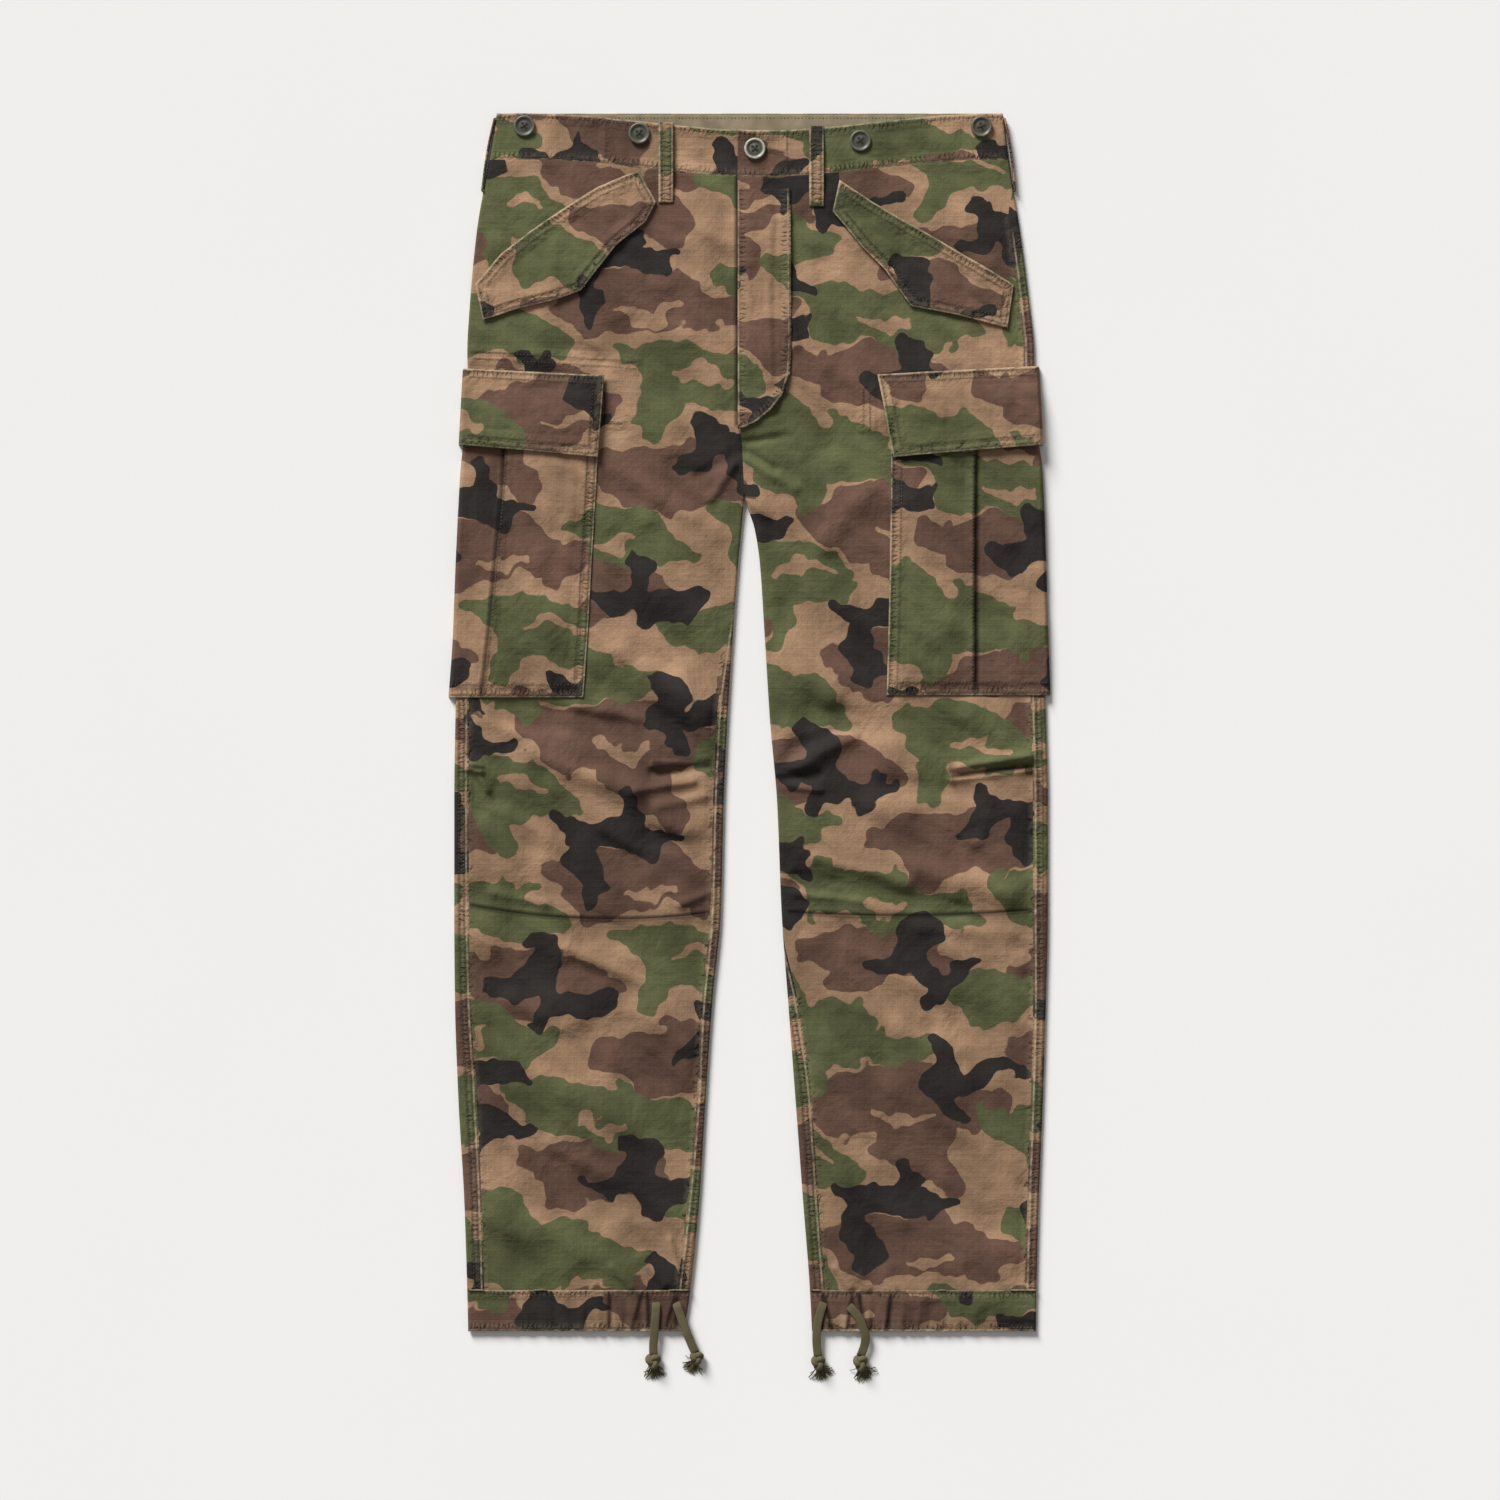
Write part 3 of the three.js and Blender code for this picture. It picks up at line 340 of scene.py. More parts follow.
def curve(rows: Array, column: int, y: Array | float) -> Array:
    """Value of a table's column at y, on a smooth curve through its rows with no overshoot.

    Args:
        rows: A table whose first column is y, falling.
        column: Which column to read.
        y: Heights, in mm.

    Returns:
        The values, by a cubic between rows whose slopes are the harmonic means of the chords'.
    """
    ys, vs = rows[::-1, 0], rows[::-1, column]
    chords = np.diff(vs) / np.diff(ys)
    product = chords[:-1] * chords[1:]
    total = chords[:-1] + chords[1:]
    shared = np.where(product > 0, 2 * product / np.where(total == 0, 1, total), 0)
    slopes = np.concatenate([[chords[0]], shared, [chords[-1]]])
    y = np.clip(y, ys[0], ys[-1])
    i = np.clip(np.searchsorted(ys, y) - 1, 0, len(ys) - 2)
    span = ys[i + 1] - ys[i]
    t = (y - ys[i]) / span
    return (
        (2 * t**3 - 3 * t**2 + 1) * vs[i]
        + (t**3 - 2 * t**2 + t) * span * slopes[i]
        + (3 * t**2 - 2 * t**3) * vs[i + 1]
        + (t**3 - t**2) * span * slopes[i + 1]
    )


@dataclass(frozen=True)
class Edge:
    """One fold of a leg: its column in the tables, and the way in x towards the leg's middle."""

    column: int
    inward: int

    @property
    def is_outer(self) -> bool:
        """Whether this is the leg's outer fold."""
        return self.column in (RIGHT_OUTER, LEFT_OUTER)

    def x(self, y: Array | float) -> Array:
        """x of the fold at y."""
        return curve(OUTLINE, self.column, y)

    def seam(self, y: Array | float) -> Array:
        """How far the seam lies in from the fold at y."""
        return curve(SEAMS, self.column, y)

    def roundness(self, y: Array | float) -> Array:
        """How round the edge is: the inner edges are cut open above the crotch."""
        ramp, y = 26.0, np.asarray(y, float)
        return np.ones_like(y) if self.is_outer else smooth((CROTCH - y) / ramp)


class Leg(Enum):
    """The wearer's right and left legs, each with its outer and inner fold."""

    RIGHT = ("right", Edge(RIGHT_OUTER, 1), Edge(RIGHT_INNER, -1))
    LEFT = ("left", Edge(LEFT_OUTER, -1), Edge(LEFT_INNER, 1))

    @property
    def label(self) -> str:
        """The side's name in node names."""
        return self.value[0]

    def has(self, x: float) -> bool:
        """Whether what lies at x is on this leg's side."""
        return (x < 0) == (self is Leg.RIGHT)

    @property
    def outer(self) -> Edge:
        """The outer fold."""
        return self.value[1]

    @property
    def inner(self) -> Edge:
        """The inner fold."""
        return self.value[2]


def folds_height(x: Array, y: Array) -> Array:
    """Sum of the fold table at x, y: each is a bell across its line, rounded off at its ends."""
    total = np.zeros(np.broadcast(x, y).shape)
    for x1, y1, x2, y2, height, half in FOLDS:
        dx, dy = x2 - x1, y2 - y1
        length = math.hypot(dx, dy)
        along = ((x - x1) * dx + (y - y1) * dy) / length**2
        beyond = np.maximum(0, np.maximum(-along, along - 1)) * length
        across = ((x - x1) * dy - (y - y1) * dx) / length
        total += height * np.exp(-((across / half) ** 2) - (beyond / half) ** 2)
    return FOLD_GAIN * total


def ripples(x: Array, y: Array, size: float, seed: int) -> Array:
    """Smooth random waves of about `size` mm, from -1 to 1: a sum of sines in seeded directions."""
    rng = np.random.default_rng(seed)
    total = np.zeros(np.broadcast(x, y).shape)
    count = 9
    for _ in range(count):
        turn, phase, stretch = rng.uniform(0, 2 * math.pi), rng.uniform(0, 2 * math.pi), rng.uniform(0.6, 1.7)
        wave = 2 * math.pi / (size * stretch)
        total += np.sin((x * math.cos(turn) + y * math.sin(turn)) * wave + phase)
    return total / math.sqrt(count)


def tuck_line(leg: Leg, x: Array) -> Array:
    """y of the knee tuck at x: a shallow sagging arc across each leg."""
    if leg is Leg.RIGHT:
        return -162.0 - 12.0 * (1.0 - np.clip((x + 120.0) / 125.0, -1, 1) ** 2)
    return -166.0 - 5.0 * (1.0 - np.clip((x - 130.0) / 120.0, -1, 1) ** 2)


def relief(leg: Leg, x: Array, y: Array) -> Array:
    """Height of the front over its plain height: loft, folds, knee tuck and the fly's overlap.

    The loft fades out towards the folds over 30 mm and the creases over 15 mm. At the knee tuck the
    cloth above the line drops by half the step, and the cloth below it stands as much higher.
    Troughs flatten out towards DEEPEST, which is above the back panel.
    """
    loft_fades, folds_fade, ripple = 30.0, 15.0, 0.85
    from_outer = np.abs(x - leg.outer.x(y))
    above_crotch = loft_fades * (1 - leg.inner.roundness(y))
    from_inner = np.abs(x - leg.inner.x(y)) + above_crotch
    depth = np.minimum(from_outer, from_inner) - FOLD_RADIUS
    below = tuck_line(leg, x) - y
    tuck = np.where(below > 0, 1.0, -1.0) * TUCK_STEP / 2 * np.exp(-np.abs(below) / TUCK_REACH)
    waves = ripple * ripples(x, y, 34.0, RNG_SEED)
    bumps = folds_height(x, y) + tuck + waves
    bumps = np.where(bumps < 0, -DEEPEST * np.tanh(-bumps / DEEPEST), bumps) * smooth(depth / folds_fade)
    return LOFT * smooth(depth / loft_fades) + bumps + fly_step(leg, x, y)


def fly_step(leg: Leg, x: Array, y: Array) -> Array:
    """The left front laps over the right one at the fly, so its edge stands higher there."""
    height, reach, bottom = 1.2, 28.0, 245.0
    if leg is Leg.RIGHT:
        return np.zeros(np.broadcast(x, y).shape)
    return height * np.clip(1 - (x - leg.inner.x(y)) / reach, 0, 1) * smooth((y - bottom) / reach)


def dip(x: Array, y: Array) -> Array:
    """How far the front waist hangs below the back waist at x. It fades out down the hips."""
    middle, half_span, fades_over = 10.0, 205.0, 90.0
    across = smooth(1 - np.abs(x - middle) / half_span)
    return WAIST_DIP * across * smooth((y - BAND_BOTTOM + fades_over) / fades_over)


def top_of(leg: Leg, edges: Sequence[Edge] = ()) -> Height:
    """Height of a leg's skin, over its front and down round some folds: its outer one, if none is named."""

    def height(x: Array, y: Array) -> Array:
        depth = np.min([edge.inward * (x - edge.x(y)) for edge in edges or (leg.outer,)], axis=0)
        drop = FOLD_RADIUS - np.clip(depth, 0, FOLD_RADIUS)
        rounded = FOLD_RADIUS + np.sqrt(FOLD_RADIUS**2 - drop**2)
        return np.where(depth >= FOLD_RADIUS, PANEL_TOP + relief(leg, x, y), rounded)

    return height


def raised(height: Height, by: float) -> Height:
    """A height function moved up by a fixed amount."""
    return lambda x, y: height(x, y) + by


def highest_near(height: Height, x: Array, y: Array, reach: float) -> Array:
    """Highest value of a height function within reach of x, y, so that a piece laid over it clears it."""
    offsets = (-reach, 0.0, reach)
    return np.max([height(x + dx, y + dy) for dx in offsets for dy in offsets], axis=0)


def grid(*columns: Array) -> Array:
    """Stacks x, y and z arrays into a grid of points."""
    return np.stack(np.broadcast_arrays(*columns), axis=-1).astype(float)


def unit(v: Array) -> Array:
    """Vectors at length one."""
    return v / np.maximum(np.linalg.norm(v, axis=-1, keepdims=True), 1e-9)


def round_fold(leg: Leg, edge: Edge, y: Array, place: Array) -> Array:
    """Points of a leg's skin at heights y, by their place round one of its folds.

    Place 0 is where the flat top meets the fold. Above 0 it runs round the fold, reaches the floor at
    pi times the radius and goes in along it; below 0 it runs in over the top.
    """
    angle = np.clip(place / FOLD_RADIUS, 0, math.pi)
    straight = np.maximum(0, np.maximum(-place, place - math.pi * FOLD_RADIUS))
    inset = FOLD_RADIUS * edge.roundness(y) * (1 - np.sin(angle)) + straight
    x = edge.x(y) + edge.inward * inset
    top = FOLD_RADIUS + FOLD_RADIUS * np.cos(angle)
    return grid(x, y, top + np.where(place < 0, relief(leg, x, y), 0))


def seam_place(edge: Edge, y: Array, is_front: bool) -> Array:
    """Place round the fold of a panel's sewn edge, for the panel on top or the one underneath."""
    seam, around = -edge.seam(y), edge.roundness(y)
    floor = math.pi * FOLD_RADIUS
    if is_front:
        return seam * around - SEAM_GAP / 2
    return floor - (floor - seam) * around + SEAM_GAP / 2


def rolled(points: Array, up: bool = True, radius: float = EDGE_ROLL, axes: Sequence[int] = (0, 1)) -> Array:
    """Turns a grid's borders under in a half round, so that an open sheet shows a pressed, doubled edge.

    Args:
        points: The grid of points.
        up: Whether the sheet's outer side is the one that faces up on average.
        radius: Half the thickness that the edge shows, in mm.
        axes: Which borders turn under: 0 for the first and last rows, 1 for the columns.

    Returns:
        The grid with four more rows or columns at each border that turns.
    """
    normal = unit(np.cross(np.gradient(points, axis=1), np.gradient(points, axis=0)))
    if (normal[..., 2].mean() > 0) != up:
        normal = -normal
    angles = np.radians([40.0, 90.0, 140.0, 180.0])
    for axis in axes:
        points, normal = np.moveaxis(points, axis, 0), np.moveaxis(normal, axis, 0)
        ends = []
        for border, inner in ((0, 1), (-1, -2)):
            out = unit(points[border] - points[inner])
            out = unit(out - (out * normal[border]).sum(-1, keepdims=True) * normal[border])
            turns = [math.sin(a) * out - (1 - math.cos(a)) * normal[border] for a in angles]
            ends.append([points[border] + radius * turn for turn in turns])
        first, last = np.stack(ends[0][::-1]), np.stack(ends[1])
        tiled = [np.repeat(normal[:1], len(angles), 0), normal, np.repeat(normal[-1:], len(angles), 0)]
        points = np.moveaxis(np.concatenate([first, points, last]), 0, axis)
        normal = np.moveaxis(np.concatenate(tiled), 0, axis)
    return points


def line_distance(x: Array, y: Array, lines: Sequence[Array], limit: float = 40.0) -> tuple[Array, Array]:
    """Distance in mm from points to the nearest of some polylines, up to a limit, and how far along it.

    Args:
        x: Points' x.
        y: Points' y.
        lines: The polylines, as rows of x, y.
        limit: The largest distance told.

    Returns:
        The distances, and the arc lengths of the nearest places on the lines.
    """
    best, along = np.full(x.shape, limit), np.zeros(x.shape)
    for line in lines:
        walked = 0.0
        for (x1, y1), (x2, y2) in zip(line[:-1, :2], line[1:, :2]):
            dx, dy = x2 - x1, y2 - y1
            length = math.hypot(dx, dy)
            t = np.clip(((x - x1) * dx + (y - y1) * dy) / max(length**2, 1e-9), 0, 1)
            distance = np.hypot(x - x1 - t * dx, y - y1 - t * dy)
            is_nearer = distance < best
            best = np.where(is_nearer, distance, best)
            along = np.where(is_nearer, walked + t * length, along)
            walked += length
    return best, along


# The print's chart: a small woodland repeat composed for this cloth, in mm, wrapping in both directions.
# The columns of a stroke are x, y of its middle and its half width there. Later colours lie over earlier.
PRINT_REPEAT = (340.0, 420.0)
Stroke = tuple[tuple[float, float, float], ...]

BROWN: tuple[Stroke, ...] = (
    ((8, 22, 6), (40, 30, 17), (88, 24, 22), (128, 36, 12), (150, 40, 4)),
    ((196, 52, 5), (228, 62, 20), (272, 58, 24), (312, 66, 12), (334, 62, 4)),
    ((262, 84, 12), (286, 98, 14), (300, 118, 6)),
    ((58, 118, 5), (92, 128, 19), (134, 122, 15), (160, 134, 5)),
    ((214, 156, 5), (246, 166, 20), (290, 160, 17), (326, 172, 9), (352, 168, 3)),
    ((12, 206, 8), (44, 214, 22), (88, 206, 18), (120, 212, 5)),
    ((30, 236, 10), (52, 252, 9), (60, 266, 4)),
    ((150, 226, 5), (184, 238, 20), (226, 232, 15), (256, 240, 4)),
    ((250, 286, 5), (284, 296, 21), (326, 290, 19), (362, 300, 5)),
    ((56, 312, 5), (90, 322, 18), (136, 316, 22), (172, 328, 7)),
    ((118, 340, 10), (138, 358, 8), (140, 372, 3)),
    ((196, 366, 5), (230, 376, 18), (270, 370, 14), (298, 380, 4)),
    ((14, 380, 4), (44, 388, 14), (84, 382, 10), (104, 390, 3)),
)
GREEN: tuple[Stroke, ...] = (
    ((142, 6, 4), (176, 14, 17), (222, 10, 19), (258, 20, 10), (282, 18, 3)),
    ((190, 30, 9), (200, 44, 7)),
    ((-14, 72, 6), (24, 80, 20), (66, 76, 13), (94, 86, 4)),
    ((126, 82, 4), (152, 92, 18), (192, 98, 19), (228, 110, 5)),
    ((166, 112, 10), (178, 130, 8), (176, 142, 3)),
    ((2, 146, 5), (32, 156, 17), (62, 162, 8), (84, 160, 3)),
    ((120, 170, 4), (152, 182, 17), (194, 188, 16), (222, 200, 4)),
    ((266, 206, 5), (298, 216, 20), (336, 222, 17), (368, 232, 4)),
    ((292, 238, 9), (282, 254, 6)),
    ((74, 262, 4), (112, 272, 20), (158, 268, 17), (192, 280, 10), (216, 278, 3)),
    ((-6, 318, 5), (22, 334, 18), (48, 346, 11), (66, 344, 3)),
    ((186, 312, 4), (216, 326, 16), (252, 334, 17), (296, 340, 12), (316, 348, 3)),
    ((96, 394, 4), (132, 404, 17), (176, 400, 10), (200, 408, 3)),
    ((296, 398, 4), (322, 404, 14), (356, 398, 12), (376, 402, 3)),
)
TAN_OVER: tuple[Stroke, ...] = (
    ((70, 34, 3), (92, 32, 6), (112, 40, 3)),
    ((246, 66, 3), (268, 72, 5), (284, 68, 2)),
    ((176, 94, 2), (196, 92, 5), (210, 100, 2)),
    ((30, 84, 2), (52, 90, 4)),
    ((262, 172, 2), (284, 176, 5), (304, 170, 3)),
    ((52, 222, 2), (76, 218, 5), (94, 224, 2)),
    ((128, 276, 2), (150, 282, 5), (168, 276, 2)),
    ((302, 220, 2), (322, 216, 5), (338, 224, 3)),
    ((98, 330, 2), (122, 326, 5), (140, 332, 2)),
    ((236, 336, 3), (258, 342, 4), (272, 338, 2)),
)
BLACK: tuple[Stroke, ...] = (
    ((96, 46, 3), (112, 56, 8), (140, 58, 9), (164, 68, 6), (182, 66, 2)),
    ((112, 56, 7), (104, 74, 7), (114, 92, 8), (108, 106, 3)),
    ((140, 58, 7), (146, 42, 5), (158, 34, 3)),
    ((114, 90, 6), (130, 98, 5), (138, 96, 2)),
    ((288, 20, 3), (300, 32, 7), (292, 48, 8), (304, 66, 5)),
    ((294, 46, 6), (318, 44, 7), (338, 34, 4), (350, 36, 2)),
    ((222, 122, 3), (240, 132, 8), (232, 148, 9), (244, 164, 6), (240, 178, 3)),
    ((240, 132, 7), (264, 128, 8), (288, 136, 5), (304, 132, 2)),
    ((264, 128, 6), (272, 114, 5), (268, 104, 2)),
    ((28, 112, 2), (34, 126, 6), (24, 140, 7), (30, 154, 4)),
    ((56, 176, 3), (78, 184, 9), (106, 178, 8), (128, 190, 4)),
    ((78, 184, 8), (74, 202, 7), (86, 216, 5), (84, 228, 2)),
    ((106, 180, 6), (112, 196, 6), (106, 208, 2)),
    ((196, 206, 2), (208, 218, 7), (202, 236, 8), (214, 252, 7), (206, 266, 3)),
    ((204, 236, 7), (184, 242, 6), (172, 238, 2)),
    ((214, 250, 7), (236, 258, 7), (252, 250, 3)),
    ((318, 252, 2), (330, 264, 8), (354, 270, 9), (378, 264, 5), (392, 270, 2)),
    ((354, 270, 8), (350, 288, 7), (360, 302, 4)),
    ((330, 264, 6), (322, 280, 6), (308, 286, 2)),
    ((146, 292, 3), (158, 304, 8), (182, 300, 8), (196, 310, 3)),
    ((158, 304, 7), (154, 322, 8), (166, 338, 8), (160, 354, 4)),
    ((166, 336, 7), (186, 344, 6), (198, 340, 2)),
    ((268, 350, 2), (280, 358, 7), (274, 374, 8), (286, 390, 7), (282, 404, 3)),
    ((276, 374, 7), (256, 384, 6), (242, 380, 2)),
    ((286, 388, 6), (306, 386, 5), (318, 378, 2)),
    ((56, 356, 3), (72, 364, 8), (92, 358, 6), (102, 364, 2)),
    ((72, 364, 7), (66, 380, 7), (72, 398, 4), (64, 408, 2)),
)
# The chart's scale on this cloth, and how far each colour spreads past its strokes, in chart units.
PRINT_SCALE = 1.22
SPREAD = {"ink_brown": 4.6, "ink_green": 3.9, "ink_tan": -0.2, "ink_black": 2.6}


def ink_distance(strokes: Sequence[Stroke], u: Array, v: Array) -> Array:
    """Signed distance in chart units from print places u, v to a colour's edge, negative inside it.

    Each stretch of a stroke is a capsule whose half width runs evenly from one end to the other. The
    nearest one counts, with neighbours blended over a few units so that branches grow into each other.
    """
    blend, farthest = 5.0, 60.0
    wide, tall = PRINT_REPEAT
    best = np.full(u.shape, farthest)
    for stroke in strokes:
        for (x1, y1, r1), (x2, y2, r2) in zip(stroke[:-1], stroke[1:]):
            dx, dy = x2 - x1, y2 - y1
            px = (u - (x1 + x2) / 2 + wide / 2) % wide - wide / 2 + dx / 2
            py = (v - (y1 + y2) / 2 + tall / 2) % tall - tall / 2 + dy / 2
            t = np.clip((px * dx + py * dy) / (dx * dx + dy * dy), 0, 1)
            d = np.hypot(px - t * dx, py - t * dy) - (r1 + t * (r2 - r1))
            mix = np.clip(0.5 + (best - d) / (2 * blend), 0, 1)
            best = best + (d - best) * mix - blend * mix * (1 - mix) * 0.5
    return best


@dataclass(frozen=True)
class Cut:
    """Where a piece was cut from the printed cloth: a shift in mm and a turn in degrees."""

    du: float = 0.0
    dv: float = 0.0
    turn: float = 0.0

    def inks(self, x: Array, y: Array) -> dict[str, Array]:
        """Signed distances in mm to the edges of the print's colours at row-frame x, y in mm.

        The place in the repeat is the place on the piece, turned about the piece's middle, shifted and
        scaled, and then swayed by a few units so that no two repeats have quite the same edges.
        """
        turn = math.radians(self.turn)
        cx, cy = x.mean(), y.mean()
        u = (cx + (x - cx) * math.cos(turn) - (y - cy) * math.sin(turn) + self.du) / PRINT_SCALE
        v = (-cy - (x - cx) * math.sin(turn) - (y - cy) * math.cos(turn) + self.dv) / PRINT_SCALE
        sway, jitter = 5.0, 1.5
        su = u + sway * ripples(u, v, 40.0, 11) + jitter * ripples(u, v, 15.0, 12)
        sv = v + 0.8 * sway * ripples(u, v, 32.0, 13) + jitter * ripples(u, v, 13.0, 14)
        charts = {"ink_brown": BROWN, "ink_green": GREEN, "ink_tan": TAN_OVER, "ink_black": BLACK}
        distances = {ink: ink_distance(strokes, su, sv) for ink, strokes in charts.items()}
        return {ink: (distance - SPREAD[ink]) * PRINT_SCALE for ink, distance in distances.items()}


# The cut of each printed piece. The facing is plain and has none.
CUTS = {
    "front_panel_right": Cut(20.0, 60.0), "front_panel_left": Cut(190.0, 250.0),
    "back_panel_right": Cut(105.0, 185.0), "back_panel_left": Cut(220.0, 80.0),
    "waistband_front_right": Cut(60.0, 130.0), "waistband_front_left": Cut(150.0, 20.0),
    "waistband_back": Cut(40.0, 100.0, turn=90.0), "fly_placket": Cut(75.0, 210.0),
    "hip_flap_right": Cut(210.0, 310.0), "hip_flap_left": Cut(110.0, 150.0),
    "cargo_pocket_right": Cut(150.0, 350.0), "cargo_pocket_left": Cut(80.0, 100.0),
    "cargo_flap_right": Cut(240.0, 20.0), "cargo_flap_left": Cut(30.0, 230.0),
    "hem_casing_right": Cut(130.0, 40.0), "hem_casing_left": Cut(260.0, 200.0),
    "belt_loop_front_right": Cut(60.0, 480.0), "belt_loop_front_left": Cut(140.0, 420.0),
    "belt_loop_side_right": Cut(90.0, 100.0), "belt_loop_side_left": Cut(90.0, 100.0),
}


def srgb(code: str) -> tuple[float, float, float, float]:
    """An sRGB hex colour as linear RGBA."""
    parts = [int(code[i : i + 2], 16) / 255 for i in (1, 3, 5)]
    linear = [c / 12.92 if c <= 0.04045 else ((c + 0.055) / 1.055) ** 2.4 for c in parts]
    return (*linear, 1.0)


def add_node(material: bpy.types.Material, kind: str, inputs: dict | None = None,
             **settings) -> bpy.types.Node:
    """Adds a shader node with its settings, and its inputs as values or as sockets to link from."""
    tree = material.node_tree
    node = tree.nodes.new(kind)
    for name, value in settings.items():
        setattr(node, name, value)
    for key, value in (inputs or {}).items():
        if isinstance(value, Socket):
            tree.links.new(value, node.inputs[key])
        else:
            node.inputs[key].default_value = value
    return node


@dataclass(frozen=True)
class Finish:
    """A surface: the real material's name, its roughness and its specular level."""

    name: str
    roughness: float
    specular: float = 0.5


class Nodes:
    """The node tree of one material, in object coordinates."""

    # The sockets of a mix node that mixes colours.
    FACTOR, COLOUR_A, COLOUR_B, COLOUR_OUT = 0, 6, 7, 2

    def __init__(self, finish: Finish) -> None:
        """Starts the material with its shader, its output and its coordinates."""
        self.material = bpy.data.materials.new(finish.name)
        self.material.use_nodes = True
        self.material.node_tree.nodes.clear()
        inputs = {"Roughness": finish.roughness, "Specular IOR Level": finish.specular}
        self.shader = self.add("ShaderNodeBsdfPrincipled", inputs)
        self.add("ShaderNodeOutputMaterial", {"Surface": self.shader.outputs["BSDF"]})
        self.coords = self.add("ShaderNodeTexCoord").outputs["Object"]

    def add(self, kind: str, inputs: dict | None = None, **settings) -> bpy.types.Node:
        """Adds a node to this material."""
        return add_node(self.material, kind, inputs, **settings)

    def maths(self, operation: str, *values: Socket | float) -> Socket:
        """The result of a math node."""
        return self.add("ShaderNodeMath", dict(enumerate(values)), operation=operation).outputs[0]

    def ramp(self, value: Socket, start: float, end: float, low: float = 1.0, high: float = 0.0) -> Socket:
        """A value mapped to run from low at start to high at end, and held there outside."""
        inputs = {"Value": value, "From Min": start, "From Max": end, "To Min": low, "To Max": high}
        return self.add("ShaderNodeMapRange", inputs).outputs["Result"]

    def noise(self, scale: float, detail: float = 2.0, **more: float) -> Socket:
        """Smooth noise of so many waves to the metre."""
        inputs = {"Vector": self.coords, "Scale": scale, "Detail": detail, **more}
        return self.add("ShaderNodeTexNoise", inputs).outputs["Fac"]

    def attribute(self, name: str) -> Socket:
        """The value of one of the mesh's attributes."""
        return self.add("ShaderNodeAttribute", attribute_name=name).outputs["Fac"]

    def mixed(self, factor: Socket, first: Socket | str, second: Socket | str) -> Socket:
        """Two colours mixed by a factor, each a socket or a hex code."""
        first, second = (srgb(colour) if isinstance(colour, str) else colour for colour in (first, second))
        inputs = {self.FACTOR: factor, self.COLOUR_A: first, self.COLOUR_B: second}
        return self.add("ShaderNodeMix", inputs, data_type="RGBA").outputs[self.COLOUR_OUT]

    def scaled(self, colour: Socket | str, level: Socket) -> Socket:
        """A colour made lighter or darker by a level."""
        value = srgb(colour)[:3] if isinstance(colour, str) else colour
        return self.add("ShaderNodeVectorMath", {0: value, "Scale": level}, operation="SCALE").outputs[0]

    def bump(self, height: Socket, distance: float, strength: float, below: Socket | None = None,
             is_sunk: bool = False) -> Socket:
        """A bumped normal, laid over the one below it. The distance is in metres."""
        inputs = {"Height": height, "Distance": distance, "Strength": strength}
        if below is not None:
            inputs["Normal"] = below
        return self.add("ShaderNodeBump", inputs, invert=is_sunk).outputs["Normal"]

    def joined(self, colour: Socket, normal: Socket | None = None) -> bpy.types.Material:
        """The material, with its colour and its normal joined to the shader."""
        links = self.material.node_tree.links
        links.new(colour, self.shader.inputs["Base Color"])
        if normal is not None:
            links.new(normal, self.shader.inputs["Normal"])
        return self.material


